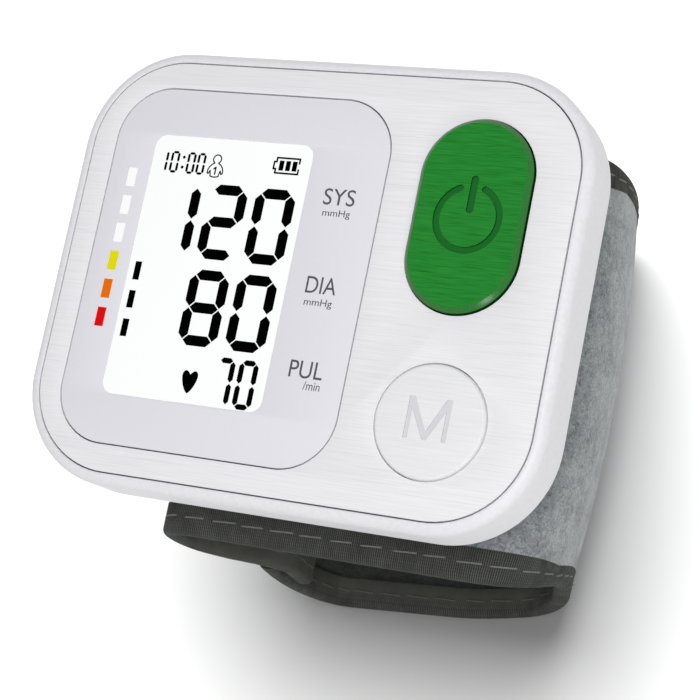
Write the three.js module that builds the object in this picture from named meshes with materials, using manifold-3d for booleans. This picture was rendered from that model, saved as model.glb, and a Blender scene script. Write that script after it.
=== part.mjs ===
// A wrist blood pressure monitor: a flat display unit that sits on a preformed cuff.
// The cuff wraps a wrist that lies along Y. Its flat underside rests on a surface at z = 0,
// +Y is the top of the display as it is read, and +Z points out of the display.
// All lengths are in millimetres.
import * as THREE from "three";
import { mergeVertices } from "three/addons/utils/BufferGeometryUtils.js";
import Module from "manifold-3d";

const wasm = await Module();
wasm.setup();

// Clearances and the overrun that every cut shares
const seatGap = 0.3;
const clothGap = 0.25;
const seamGap = 0.2;
const overrun = 3;

// Case, seen from the front
const caseWidth = 84;
const caseHeight = 69;
const caseCorner = 16;
const caseDepth = 25;
const caseWall = 1.8;
const frontDepth = 9;
const partingStep = 0.35;
const bezelWidth = 2;
const bezelRound = 1.7;
const backTaperX = 6;
const backTaperY = 4.5;
const backCorner = 14;
const backRound = 2.4;
const deckThickness = 1.8;

// Fascia plate and display window
const fasciaThickness = 1.2;
const fasciaCorner = 14;
const windowWidthShare = 0.58;
const windowMargin = 4.3;
const windowCorner = 8.5;
const windowInset = 4;
const windowLedge = 1.4;
const maskThickness = 0.4;

// Display stack and circuit board
const glassMarginX = 7.2;
const glassMarginY = 5.2;
const glassThickness = 2;
const glassOffsetX = -2.7;
const viewMarginX = 2.4;
const viewMarginY = 2.2;
const viewCorner = 2.2;
const backlightThickness = 2.2;
const boardMarginX = 5;
const boardMarginY = 6;
const boardThickness = 1.6;

// Buttons, in shares of the strip of fascia beside the window and of the fascia's height
const buttonPlaceShare = 0.483;
const startWidthShare = 0.5845;
const startHeightShare = 0.449;
const startPlaceShare = 0.183;
const memoryWidthShare = 0.581;
const memoryPlaceShare = -0.2846;
const buttonRise = 1.2;
const memoryRise = 0.5;
const buttonDraft = 0.35;
const buttonEdge = 0.35;
const flangeWidth = 1.1;
const flangeThickness = 0.9;
const buttonTravel = 0.8;
const switchSize = 6;
const switchHeight = 0.8;
const plungerDiameter = 3;

// Batteries: two AAA cells side by side
const cellDiameter = 10.5;
const cellLength = 43.7;
const cellNubDiameter = 3.8;
const cellNubLength = 0.8;
const cellPitch = 11.1;
const cellSideGap = 5.75;
const bayWall = 1.2;
const bayLength = 50.4;
const contactThickness = 0.4;
const contactWidth = 8;
const springDiameter = 6;
const springWire = 0.7;
const springTurns = 4;
const springTaperShare = 0.35;
const nubOverlapShare = 0.1;

// Battery door on the left side
const doorSeam = 0.25;
const doorRibCount = 5;
const doorRibWidth = 0.7;
const doorRibPitch = 2;
const doorRibLength = 7;
const doorTongueLength = 1.8;
const doorTongueWidth = 6;
const doorTongueThickness = 0.8;
// Each tongue's place along the bay, and -1 on the lower edge or 1 on the upper
const doorTongueShares = [
  [-0.3, -1],
  [0.3, -1],
  [0, 1],
];

// Case screws, in from the back: two past the ends of the display glass and one at the side
const endScrewShare = -0.036;
const sideScrewShares = [0.375, -0.072];
const bossDiameter = 4.8;
const screwHeadDiameter = 3.6;
const screwHeadHeight = 1.4;
const screwShankDiameter = 2;
const screwHeadDepth = 3;
const screwGrip = 2.6;
const screwSlot = 0.8;
const slotLengthShare = 0.7;
const slotWidthShare = 0.25;

// Air parts
const pumpDiameter = 12;
const pumpHeadSize = 12.4;
const pumpHeadLength = 9;
const pumpPlaceShare = 0.06;
const pumpEndGap = 7.8;
const nozzleDiameter = 3.2;
const nozzleBore = 1.4;
const nozzleLength = 3;
const hoseOuter = 5;
const hoseInner = 3.4;
const hoseReachShare = 0.171;
const valveWidth = 9;
const valveHeight = 8;
const valveEndGap = 4.8;
const manifoldDiameter = 6;
const manifoldHeight = 6;
const sensorSize = 6.4;
const sensorHeight = 2.6;
const sensorPlaceShare = 0.2743;
const chipSize = 9;
const chipHeight = 1.2;
const chipX = -4;
const chipY = 6;
const hoseSteps = 8;

// Cuff. The outline of its outer face is drawn in shares of how far it reaches to the right
// of the middle, and of how high its top face lies.
const cuffReach = 36;
const cuffHeight = 54.7;
const cuffHalfWidth = 34.6;
const cuffOffset = -3;
const cuffSkew = 4.2;
const rimFadeShare = 1.66;
const nearRise = 4.4;
const farRise = 1.2;
const riseStartShare = 0.11;
const riseTurn = 0.75;
const cuffSwell = 2.5;
const swellStartShares = { reach: 0.55, height: 0.12 };
const swellFullShares = { reach: 0.95, height: 0.45 };
const swellSteps = 6;
const feltThickness = 1;
const stiffenerThickness = 1;
const stiffenerMargin = 8.5;
const bladderThickness = 1.5;
const bladderMargin = 10;
const liningThickness = 0.8;
const tapeThickness = 0.5;
const tapeWidth = 5;
const hookThickness = 0.9;
const hookMargin = 13.5;
const studDiameter = 3.6;
const studHeadDiameter = 5.4;
const studHeadHeight = 1;
const studPlaceShares = [
  [0.02, 0.2],
  [0.02, -0.2],
  [0.3, 0],
];
const studPlaces = studPlaceShares.map(([across, up]) => [across * caseWidth, up * caseHeight]);

// Round features
const cornerSteps = 6;
const bezelSteps = 4;
const backRoundSteps = 3;
const roundSteps = 20;
const hoseSides = 10;
const springSides = 5;
const springStepsPerTurn = 8;

// Heights that follow from the sizes above
const backZ = cuffHeight + seatGap;
const faceZ = backZ + caseDepth;
const partingZ = faceZ - frontDepth;
const deckTopZ = faceZ - fasciaThickness - seatGap;
const deckUnderZ = deckTopZ - deckThickness;
const maskTopZ = deckTopZ - seatGap;
const glassTopZ = maskTopZ - maskThickness - seatGap;
const glassUnderZ = glassTopZ - glassThickness;
const backlightUnderZ = glassUnderZ - seatGap - backlightThickness;
const boardTopZ = backlightUnderZ - seatGap;
const boardUnderZ = boardTopZ - boardThickness;
const floorZ = backZ + caseWall;
const cellZ = floorZ + seatGap + cellDiameter / 2;
const bayTopZ = cellZ + cellDiameter / 2 + seatGap;

const airZ = floorZ + seatGap + pumpHeadSize / 2;

// Widths and places that follow from the case
const backWidth = caseWidth - 2 * backTaperX;
const backHeight = caseHeight - 2 * backTaperY;
const boardWidth = caseWidth - 2 * boardMarginX;
const boardHeight = caseHeight - 2 * boardMarginY;
const boardCorner = caseCorner - boardMarginX;
const fasciaWidth = caseWidth - 2 * bezelWidth;
const fasciaHeight = caseHeight - 2 * bezelWidth;
const windowWidth = windowWidthShare * fasciaWidth;
const windowHeight = fasciaHeight - 2 * windowMargin;
const windowX = -fasciaWidth / 2 + windowInset + windowWidth / 2;
const windowY = 0;
const glassWidth = windowWidth - 2 * glassMarginX;
const glassHeight = windowHeight - 2 * glassMarginY;
const endScrewY = glassHeight / 2 + seatGap + bossDiameter / 2;
const screwPlaces = [
  [endScrewShare * caseWidth, endScrewY],
  [endScrewShare * caseWidth, -endScrewY],
  [sideScrewShares[0] * caseWidth, sideScrewShares[1] * caseHeight],
];
const viewWidth = glassWidth - 2 * viewMarginX;
const viewHeight = glassHeight - 2 * viewMarginY;
const stripWidth = fasciaWidth - windowInset - windowWidth;
const buttonX = windowX + windowWidth / 2 + buttonPlaceShare * stripWidth;
const startButtonWidth = startWidthShare * stripWidth;
const startButtonHeight = startHeightShare * fasciaHeight;
const startButtonY = startPlaceShare * fasciaHeight;
const memoryButtonDiameter = memoryWidthShare * stripWidth;
const memoryButtonY = memoryPlaceShare * fasciaHeight;

// The rear housing's size at a height: it narrows from the parting line to the back
function rearSize(z) {
  const share = (z - backZ) / (partingZ - backZ);
  return {
    w: backWidth + (caseWidth - 2 * partingStep - backWidth) * share,
    h: backHeight + (caseHeight - 2 * partingStep - backHeight) * share,
    r: backCorner + (caseCorner - partingStep - backCorner) * share,
  };
}

const cellX = cellSideGap + cellDiameter / 2 - rearSize(cellZ).w / 2;
const pumpX = pumpPlaceShare * caseWidth;
const manifoldX = pumpX + pumpHeadLength / 2;
const sensorX = sensorPlaceShare * caseWidth;
const motorX = pumpX + pumpHeadLength + seatGap;
const pumpLength = rearSize(airZ).w / 2 - caseWall - pumpEndGap - motorX;
const hoseReach = hoseReachShare * caseHeight;
const pumpY = -hoseReach - pumpHeadSize / 2;
const valveLength = rearSize(airZ).h / 2 - caseWall - valveEndGap - hoseReach - seatGap;
const valveY = hoseReach + seatGap + valveLength / 2;

// Solids

function toSolid(geometry) {
  const bare = geometry.index ? geometry.toNonIndexed() : geometry.clone();
  bare.deleteAttribute("normal");
  bare.deleteAttribute("uv");
  const merged = mergeVertices(bare, 1e-4);
  return new wasm.Manifold(
    new wasm.Mesh({
      numProp: 3,
      vertProperties: new Float32Array(merged.attributes.position.array),
      triVerts: new Uint32Array(merged.index.array),
    }),
  );
}

function toGeometry(solid) {
  const mesh = solid.getMesh();
  const geometry = new THREE.BufferGeometry();
  const positions = new Float32Array(mesh.numVert * 3);
  for (let v = 0; v < mesh.numVert; v += 1) {
    for (let k = 0; k < 3; k += 1) {
      positions[3 * v + k] = mesh.vertProperties[mesh.numProp * v + k];
    }
  }
  geometry.setAttribute("position", new THREE.BufferAttribute(positions, 3));
  geometry.setIndex(new THREE.BufferAttribute(new Uint32Array(mesh.triVerts), 1));
  geometry.computeVertexNormals();
  return geometry;
}

function boxSolid(x0, x1, y0, y1, z0, z1) {
  const geometry = new THREE.BoxGeometry(x1 - x0, y1 - y0, z1 - z0);
  geometry.translate((x0 + x1) / 2, (y0 + y1) / 2, (z0 + z1) / 2);
  return toSolid(geometry);
}

function cylinderSolid(x, y, z0, z1, diameter, steps = roundSteps) {
  const geometry = new THREE.CylinderGeometry(diameter / 2, diameter / 2, z1 - z0, steps);
  geometry.rotateX(Math.PI / 2);
  geometry.translate(x, y, (z0 + z1) / 2);
  return toSolid(geometry);
}

// A cylinder that lies along X or Y, between two places on that axis
function lyingCylinder(axis, from, to, x, y, z, diameter, steps = roundSteps) {
  const geometry = new THREE.CylinderGeometry(diameter / 2, diameter / 2, to - from, steps);
  if (axis === "x") {
    geometry.rotateZ(-Math.PI / 2);
    geometry.translate((from + to) / 2, y, z);
  } else {
    geometry.translate(x, (from + to) / 2, z);
  }
  return toSolid(geometry);
}

// Points of a rounded rectangle, anticlockwise, the same number whatever its size
function roundedRing(width, height, corner, x = 0, y = 0) {
  const radius = Math.min(corner, width / 2, height / 2);
  const points = [];
  for (let quarter = 0; quarter < 4; quarter += 1) {
    const middle = (quarter * Math.PI) / 2 + Math.PI / 4;
    const cx = x + Math.sign(Math.cos(middle)) * (width / 2 - radius);
    const cy = y + Math.sign(Math.sin(middle)) * (height / 2 - radius);
    for (let k = 0; k <= cornerSteps; k += 1) {
      const angle = (quarter + k / cornerSteps) * (Math.PI / 2);
      points.push([cx + radius * Math.cos(angle), cy + radius * Math.sin(angle)]);
    }
  }
  return points;
}

// A closed body through rounded rectangles stacked up Z. Each level is { z, w, h, r }.
function stackedSolid(levels, x = 0, y = 0) {
  const rings = levels.map((level) => roundedRing(level.w, level.h, level.r, x, y));
  const count = rings[0].length;
  const positions = [];
  const triangles = [];
  rings.forEach((ring, k) => ring.forEach(([px, py]) => positions.push(px, py, levels[k].z)));
  for (let k = 0; k + 1 < rings.length; k += 1) {
    for (let i = 0; i < count; i += 1) {
      const a = k * count + i;
      const b = k * count + ((i + 1) % count);
      triangles.push(a, b, b + count, a, b + count, a + count);
    }
  }
  const top = (rings.length - 1) * count;
  for (let i = 1; i + 1 < count; i += 1) {
    triangles.push(0, i + 1, i);
    triangles.push(top, top + i, top + i + 1);
  }
  const geometry = new THREE.BufferGeometry();
  geometry.setAttribute("position", new THREE.BufferAttribute(new Float32Array(positions), 3));
  geometry.setIndex(triangles);
  return toSolid(geometry);
}

function plateSolid(width, height, corner, z0, z1, x = 0, y = 0) {
  const level = { w: width, h: height, r: corner };
  return stackedSolid([{ z: z0, ...level }, { z: z1, ...level }], x, y);
}

const model = new THREE.Group();

function addSolid(name, solid, material) {
  const mesh = new THREE.Mesh(toGeometry(solid), material);
  mesh.name = name;
  model.add(mesh);
}

function material(colour, roughness, metalness = 0) {
  return new THREE.MeshStandardMaterial({ color: colour, roughness, metalness });
}

const finishes = {
  whitePlastic: material(0xe9e8ee, 0.35),
  brushedPlate: material(0xe4e3e8, 0.35, 0.3),
  windowPlastic: material(0xdcdbe3, 0.15),
  maskFilm: material(0xd8d7df, 0.5),
  displayGlass: material(0xf7faf8, 0.2),
  backlight: material(0xf2f2ee, 0.5),
  board: material(0x1f6b3a, 0.5),
  greenPlastic: material(0x1c8c28, 0.3),
  blackPlastic: material(0x202224, 0.5),
  steel: material(0xb9bcc0, 0.3, 1),
  copperZinc: material(0xc9b26a, 0.35, 1),
  cellJacket: material(0x3a4652, 0.35),
  silicone: material(0xd9dcd8, 0.6),
  felt: material(0x7f8a8a, 0.95),
  lining: material(0x3a3d3a, 0.9),
  tape: material(0x32352f, 0.9),
  rubber: material(0x4a4c4e, 0.8),
  stiffener: material(0x2b2d2f, 0.6),
};

// Case

// The outer levels of the front housing: straight side, rounded bezel, then a flat lip
function frontLevels(grow = 0) {
  const levels = [{ z: partingZ, w: caseWidth + grow, h: caseHeight + grow, r: caseCorner + grow / 2 }];
  const roundStart = faceZ - bezelRound;
  for (let k = 0; k <= bezelSteps; k += 1) {
    const angle = (k / bezelSteps) * (Math.PI / 2);
    const inset = bezelRound * (1 - Math.cos(angle));
    levels.push({
      z: roundStart + bezelRound * Math.sin(angle),
      w: caseWidth - 2 * inset + grow,
      h: caseHeight - 2 * inset + grow,
      r: caseCorner - inset + grow / 2,
    });
  }
  return levels;
}

// The bowl of the rear housing, which tapers to the back and rounds over at its foot
function rearLevels(inset, fromZ, toZ) {
  const levels = [];
  const addLevel = (z, shrink) => {
    const size = rearSize(z);
    levels.push({ z, w: size.w - 2 * shrink, h: size.h - 2 * shrink, r: size.r - shrink });
  };
  for (let k = 0; k <= backRoundSteps; k += 1) {
    const angle = (k / backRoundSteps) * (Math.PI / 2);
    addLevel(fromZ + backRound * (1 - Math.cos(angle)), inset + backRound * (1 - Math.sin(angle)));
  }
  addLevel(toZ, inset);
  return levels;
}

function buttonOpening(width, height, y, grow, z0, z1) {
  return plateSolid(width + 2 * grow, height + 2 * grow, width / 2 + grow, z0, z1, buttonX, y);
}

const innerWidth = caseWidth - 2 * caseWall;
const innerHeight = caseHeight - 2 * caseWall;
const innerCorner = caseCorner - caseWall;
const buttonOpenings = [
  [startButtonWidth, startButtonHeight, startButtonY],
  [memoryButtonDiameter, memoryButtonDiameter, memoryButtonY],
];

function makeFrontHousing() {
  let body = stackedSolid(frontLevels());
  const recess = plateSolid(
    fasciaWidth + 2 * seamGap,
    fasciaHeight + 2 * seamGap,
    fasciaCorner + seamGap,
    deckTopZ,
    faceZ + overrun,
  );
  const hollow = plateSolid(innerWidth, innerHeight, innerCorner, partingZ - overrun, deckUnderZ);
  body = body.subtract(recess).subtract(hollow);
  const windowOpening = plateSolid(
    windowWidth - 2 * windowLedge,
    windowHeight - 2 * windowLedge,
    windowCorner - windowLedge,
    deckUnderZ - overrun,
    deckTopZ + overrun,
    windowX,
    windowY,
  );
  body = body.subtract(windowOpening);
  for (const [width, height, y] of buttonOpenings) {
    body = body.subtract(
      buttonOpening(width, height, y, seamGap, deckUnderZ - overrun, deckTopZ + overrun),
    );
  }
  // Pillars that take the case screws, down to the circuit board
  const pillarFoot = boardTopZ + seatGap;
  for (const [x, y] of screwPlaces) {
    const pillar = cylinderSolid(x, y, pillarFoot, deckUnderZ + deckThickness / 2, bossDiameter);
    const pilot = cylinderSolid(
      x,
      y,
      pillarFoot - overrun,
      deckUnderZ,
      screwShankDiameter + 2 * seatGap,
      roundSteps / 2,
    );
    body = body.add(pillar).subtract(pilot);
  }
  return body;
}

function makeFascia() {
  let plate = plateSolid(
    fasciaWidth,
    fasciaHeight,
    fasciaCorner,
    faceZ - fasciaThickness,
    faceZ,
  );
  plate = plate.subtract(
    plateSolid(
      windowWidth + 2 * seamGap,
      windowHeight + 2 * seamGap,
      windowCorner + seamGap,
      faceZ - fasciaThickness - overrun,
      faceZ + overrun,
      windowX,
      windowY,
    ),
  );
  for (const [width, height, y] of buttonOpenings) {
    plate = plate.subtract(
      buttonOpening(width, height, y, seamGap, faceZ - fasciaThickness - overrun, faceZ + overrun),
    );
  }
  return plate;
}

// A button cap: a flange under the deck, a straight neck and a drafted, softened crown
function makeButton(width, height, y, rise) {
  const corner = width / 2;
  const flangeTopZ = deckUnderZ - seatGap;
  const flangeUnderZ = flangeTopZ - flangeThickness;
  const grown = { w: width + 2 * flangeWidth, h: height + 2 * flangeWidth, r: corner + flangeWidth };
  const neck = { w: width, h: height, r: corner };
  const shoulderInset = buttonDraft * (1 - buttonEdge / rise);
  const shoulder = {
    w: width - 2 * shoulderInset,
    h: height - 2 * shoulderInset,
    r: corner - shoulderInset,
  };
  const crownInset = buttonDraft + buttonEdge;
  const crown = { w: width - 2 * crownInset, h: height - 2 * crownInset, r: corner - crownInset };
  const cap = stackedSolid(
    [
      { z: flangeUnderZ, ...grown },
      { z: flangeTopZ, ...grown },
      { z: flangeTopZ, ...neck },
      { z: faceZ, ...neck },
      { z: faceZ + rise - buttonEdge, ...shoulder },
      { z: faceZ + rise, ...crown },
    ],
    buttonX,
    y,
  );
  const hollow = plateSolid(
    width - 2 * caseWall,
    height - 2 * caseWall,
    corner - caseWall,
    flangeUnderZ - overrun,
    faceZ - fasciaThickness,
    buttonX,
    y,
  );
  const postFoot = boardTopZ + seatGap + switchHeight + buttonTravel + seatGap;
  const post = cylinderSolid(buttonX, y, postFoot, faceZ - fasciaThickness / 2, plungerDiameter);
  return cap.subtract(hollow).add(post);
}

function makeSwitch(y) {
  const underZ = boardTopZ + seatGap;
  const body = boxSolid(
    buttonX - switchSize / 2,
    buttonX + switchSize / 2,
    y - switchSize / 2,
    y + switchSize / 2,
    underZ,
    underZ + switchHeight / 2,
  );
  return body.add(cylinderSolid(buttonX, y, underZ, underZ + switchHeight, plungerDiameter));
}

const bayInnerX1 = cellX + cellPitch + cellDiameter / 2 + seatGap;
const bayInnerHalf = bayLength / 2;
const doorInnerX = cellX - cellDiameter / 2 - seatGap;

function rearShell() {
  const outer = stackedSolid(rearLevels(0, backZ, partingZ - seamGap));
  const inner = stackedSolid(rearLevels(caseWall, floorZ, partingZ - seamGap));
  const mouth = rearLevels(caseWall, floorZ, partingZ - seamGap).pop();
  const lid = stackedSolid([
    { ...mouth, z: partingZ - seamGap - overrun / 2 },
    { ...mouth, z: partingZ + overrun },
  ]);
  return outer.subtract(inner).subtract(lid);
}

function makeRearHousing() {
  let body = rearShell();
  const outer = stackedSolid(rearLevels(0, backZ, partingZ - seamGap));
  const bay = boxSolid(
    doorInnerX,
    bayInnerX1 + bayWall,
    -bayInnerHalf - bayWall,
    bayInnerHalf + bayWall,
    floorZ - caseWall / 2,
    bayTopZ + bayWall,
  ).intersect(outer);
  body = body.add(bay);
  const bossTopZ = boardUnderZ - seatGap;
  for (const [x, y] of screwPlaces) {
    const boss = cylinderSolid(x, y, backZ + caseWall / 2, bossTopZ, bossDiameter);
    body = body.add(boss);
  }
  body = body.subtract(
    boxSolid(
      -caseWidth,
      bayInnerX1,
      -bayInnerHalf,
      bayInnerHalf,
      floorZ,
      bayTopZ,
    ),
  );
  for (const [x, y] of screwPlaces) {
    const shaft = cylinderSolid(
      x,
      y,
      backZ - overrun,
      bossTopZ + overrun,
      screwShankDiameter + 2 * seatGap,
      roundSteps / 2,
    );
    const sink = cylinderSolid(
      x,
      y,
      backZ - overrun,
      backZ + screwHeadDepth,
      screwHeadDiameter + 2 * seatGap,
    );
    body = body.subtract(shaft).subtract(sink);
  }
  for (const [x, y] of studPlaces) {
    body = body.subtract(
      cylinderSolid(x, y, backZ - overrun, floorZ + overrun, studDiameter + 2 * seatGap),
    );
  }
  body = body.subtract(
    cylinderSolid(manifoldX, 0, backZ - overrun, floorZ + overrun, nozzleDiameter + 2 * seatGap),
  );
  return body;
}

// The door is the piece of the shell's left side between its seams, with tongues that
// slide into the bay above its floor and grip ribs on its face
function makeBatteryDoor() {
  const outer = stackedSolid(rearLevels(0, backZ, partingZ - seamGap));
  const inner = stackedSolid(rearLevels(caseWall, floorZ - caseWall, partingZ - seamGap + overrun));
  const block = boxSolid(
    -caseWidth,
    doorInnerX - doorSeam,
    -bayInnerHalf + doorSeam,
    bayInnerHalf - doorSeam,
    floorZ + doorSeam,
    bayTopZ - doorSeam,
  );
  let door = outer.subtract(inner).intersect(block);
  const ribZ0 = cellZ - doorRibLength / 2;
  const ribZ1 = cellZ + doorRibLength / 2;
  for (let k = 0; k < doorRibCount; k += 1) {
    const y = (k - (doorRibCount - 1) / 2) * doorRibPitch;
    const groove = boxSolid(
      -caseWidth,
      -rearSize(cellZ).w / 2 + doorRibWidth / 2,
      y - doorRibWidth / 2,
      y + doorRibWidth / 2,
      ribZ0,
      ribZ1,
    );
    door = door.subtract(groove);
  }
  for (const [placeShare, edge] of doorTongueShares) {
    const tongueY = placeShare * bayLength;
    const lowZ = edge < 0 ? floorZ + doorSeam : bayTopZ - doorSeam - doorTongueThickness;
    const tongue = boxSolid(
      -rearSize(lowZ).w / 2 + caseWall / 2,
      doorInnerX + doorTongueLength,
      tongueY - doorTongueWidth / 2,
      tongueY + doorTongueWidth / 2,
      lowZ,
      lowZ + doorTongueThickness,
    );
    door = door.add(tongue);
  }
  return door;
}

// Electronics

function makeBoard() {
  let board = plateSolid(boardWidth, boardHeight, boardCorner, boardUnderZ, boardTopZ);
  for (const [x, y] of screwPlaces) {
    board = board.subtract(
      cylinderSolid(
        x,
        y,
        boardUnderZ - overrun,
        boardTopZ + overrun,
        screwShankDiameter + 2 * seatGap,
      ),
    );
  }
  return board;
}

const glassX = windowX + glassOffsetX;

function makeMask() {
  const outerInset = windowLedge + seamGap;
  const film = plateSolid(
    windowWidth - 2 * outerInset,
    windowHeight - 2 * outerInset,
    windowCorner - outerInset,
    maskTopZ - maskThickness,
    maskTopZ,
    windowX,
    windowY,
  );
  return film.subtract(
    plateSolid(
      viewWidth,
      viewHeight,
      viewCorner,
      maskTopZ - maskThickness - overrun,
      maskTopZ + overrun,
      glassX,
      windowY,
    ),
  );
}

function makeScrew(x, y) {
  const headUnderZ = backZ + screwHeadDepth - seatGap - screwHeadHeight;
  const shankTopZ = boardTopZ + seatGap + screwGrip;
  const head = cylinderSolid(x, y, headUnderZ, headUnderZ + screwHeadHeight, screwHeadDiameter);
  const shank = cylinderSolid(x, y, headUnderZ, shankTopZ, screwShankDiameter, roundSteps / 2);
  let body = head.add(shank);
  for (const turned of [false, true]) {
    const length = (screwHeadDiameter / 2) * (turned ? slotWidthShare : slotLengthShare);
    const width = (screwHeadDiameter / 2) * (turned ? slotLengthShare : slotWidthShare);
    body = body.subtract(
      boxSolid(
        x - length,
        x + length,
        y - width,
        y + width,
        headUnderZ - overrun,
        headUnderZ + screwSlot,
      ),
    );
  }
  return body;
}

// Battery cells and their contacts

const cellCentres = [cellX, cellX + cellPitch];

function makeCell(x, pointing) {
  const spare = (bayLength - cellLength - cellNubLength) / 2;
  const nubEnd = pointing * (bayInnerHalf - contactThickness - 2 * seatGap);
  const shoulder = nubEnd - pointing * cellNubLength;
  const foot = shoulder - pointing * cellLength;
  const body = lyingCylinder("y", Math.min(shoulder, foot), Math.max(shoulder, foot), x, 0, cellZ, cellDiameter);
  const nubInner = shoulder - pointing * spare * nubOverlapShare;
  const nub = lyingCylinder(
    "y",
    Math.min(nubInner, nubEnd),
    Math.max(nubInner, nubEnd),
    x,
    0,
    cellZ,
    cellNubDiameter,
  );
  return { solid: body.add(nub), foot };
}

function contactPlate(side, x0, x1) {
  const outerY = side * (bayInnerHalf - seatGap / 2);
  const innerY = outerY - side * contactThickness;
  return boxSolid(
    x0 - contactWidth / 2,
    x1 + contactWidth / 2,
    Math.min(outerY, innerY),
    Math.max(outerY, innerY),
    cellZ - contactWidth / 2,
    cellZ + contactWidth / 2,
  );
}

// A conical contact spring, one unbroken wire, wound from the plate to the cell's flat end
function makeSpring(x, plateY, footY, side) {
  const steps = springTurns * springStepsPerTurn;
  const positions = [];
  const triangles = [];
  const startY = plateY;
  const reach = footY - plateY;
  for (let k = 0; k <= steps; k += 1) {
    const share = k / steps;
    const angle = share * springTurns * 2 * Math.PI;
    const radius = (springDiameter / 2) * (1 - springTaperShare * share) - springWire / 2;
    for (let i = 0; i < springSides; i += 1) {
      const around = (i / springSides) * 2 * Math.PI;
      const out = radius + (springWire / 2) * Math.cos(around);
      const along = startY + reach * share + (springWire / 2) * Math.sin(around) * side;
      positions.push(x + out * Math.cos(angle), along, cellZ + out * Math.sin(angle));
    }
  }
  for (let k = 0; k < steps; k += 1) {
    for (let i = 0; i < springSides; i += 1) {
      const a = k * springSides + i;
      const b = k * springSides + ((i + 1) % springSides);
      triangles.push(a, b, b + springSides, a, b + springSides, a + springSides);
    }
  }
  const last = steps * springSides;
  for (let i = 1; i + 1 < springSides; i += 1) {
    triangles.push(0, i + 1, i, last, last + i, last + i + 1);
  }
  const geometry = new THREE.BufferGeometry();
  geometry.setAttribute("position", new THREE.BufferAttribute(new Float32Array(positions), 3));
  geometry.setIndex(triangles);
  const solid = toSolid(geometry);
  if (solid.volume() > 0) {
    return solid;
  }
  geometry.setIndex(triangles.flatMap((_, n) => (n % 3 === 0 ? [triangles[n], triangles[n + 2], triangles[n + 1]] : [])));
  return toSolid(geometry);
}

// Air parts

const manifoldFootZ = floorZ + nozzleLength + seatGap;
const manifoldTopZ = manifoldFootZ + manifoldHeight;
const armZ = manifoldFootZ + manifoldHeight / 2;
const pumpFace = pumpY + pumpHeadSize / 2;

function makePumpMotor() {
  const end = motorX + pumpLength;
  const can = lyingCylinder("x", motorX, end, 0, pumpY, airZ, pumpDiameter);
  const boss = lyingCylinder("x", motorX, end + nozzleLength / 2, 0, pumpY, airZ, pumpDiameter / 4);
  return can.add(boss);
}

function makePumpHead() {
  const block = boxSolid(
    pumpX,
    pumpX + pumpHeadLength,
    pumpY - pumpHeadSize / 2,
    pumpFace,
    airZ - pumpHeadSize / 2,
    airZ + pumpHeadSize / 2,
  );
  const nozzle = lyingCylinder("y", pumpY, pumpFace + nozzleLength, manifoldX, 0, armZ, nozzleDiameter);
  const bore = lyingCylinder("y", pumpFace, pumpFace + nozzleLength + overrun, manifoldX, 0, armZ, nozzleBore, roundSteps / 2);
  return block.add(nozzle).subtract(bore);
}

const valveFace = valveY - valveLength / 2;

function makeValve() {
  const block = boxSolid(
    manifoldX - valveWidth / 2,
    manifoldX + valveWidth / 2,
    valveFace,
    valveFace + valveLength,
    armZ - valveHeight / 2,
    armZ + valveHeight / 2,
  );
  const nozzle = lyingCylinder("y", valveFace - nozzleLength, valveY, manifoldX, 0, armZ, nozzleDiameter);
  const bore = lyingCylinder("y", valveFace - nozzleLength - overrun, valveFace, manifoldX, 0, armZ, nozzleBore, roundSteps / 2);
  return block.add(nozzle).subtract(bore);
}

function makeManifold() {
  const arm = manifoldDiameter / 2 + nozzleLength;
  let body = cylinderSolid(manifoldX, 0, manifoldFootZ, manifoldTopZ, manifoldDiameter);
  body = body.add(lyingCylinder("y", -arm, arm, manifoldX, 0, armZ, nozzleDiameter));
  body = body.add(lyingCylinder("x", manifoldX, manifoldX + arm, 0, 0, armZ, nozzleDiameter));
  body = body.subtract(lyingCylinder("y", -arm - overrun, arm + overrun, manifoldX, 0, armZ, nozzleBore, roundSteps / 2));
  return body;
}

// A silicone hose over two nozzles that face each other
function makeStraightHose(from, to) {
  const outline = new THREE.Shape().absarc(0, 0, hoseOuter / 2, 0, 2 * Math.PI);
  outline.holes.push(new THREE.Path().absarc(0, 0, nozzleDiameter / 2 + seatGap, 0, 2 * Math.PI, true));
  const geometry = new THREE.ExtrudeGeometry(outline, {
    depth: to - from,
    bevelEnabled: false,
    curveSegments: hoseSides,
  });
  geometry.rotateX(-Math.PI / 2);
  geometry.translate(manifoldX, from, armZ);
  return toSolid(geometry);
}

// The hose from the manifold's side arm up to the pressure sensor's nozzle
function makeSensorHose() {
  const startX = manifoldX + manifoldDiameter / 2 + nozzleLength + seatGap;
  const endZ = boardUnderZ - 2 * seatGap - sensorHeight - nozzleLength;
  const route = new THREE.CubicBezierCurve3(
    new THREE.Vector3(startX, 0, armZ),
    new THREE.Vector3(sensorX, 0, armZ),
    new THREE.Vector3(sensorX, 0, armZ),
    new THREE.Vector3(sensorX, 0, endZ),
  );
  const outline = new THREE.Shape().absarc(0, 0, hoseInner / 2, 0, 2 * Math.PI);
  const geometry = new THREE.ExtrudeGeometry(outline, {
    steps: hoseSteps,
    bevelEnabled: false,
    extrudePath: route,
    curveSegments: hoseSides / 2,
  });
  return toSolid(geometry);
}

function makeSensor() {
  const topZ = boardUnderZ - seatGap;
  const body = boxSolid(
    sensorX - sensorSize / 2,
    sensorX + sensorSize / 2,
    -sensorSize / 2,
    sensorSize / 2,
    topZ - sensorHeight,
    topZ,
  );
  const nozzle = cylinderSolid(sensorX, 0, topZ - sensorHeight - nozzleLength, topZ - sensorHeight / 2, nozzleDiameter);
  return body.add(nozzle);
}

// Cuff

// A point of the outline, in shares of the cuff's reach and height
function at(reachShare, heightShare) {
  return new THREE.Vector2(reachShare * cuffReach, heightShare * cuffHeight);
}

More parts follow.
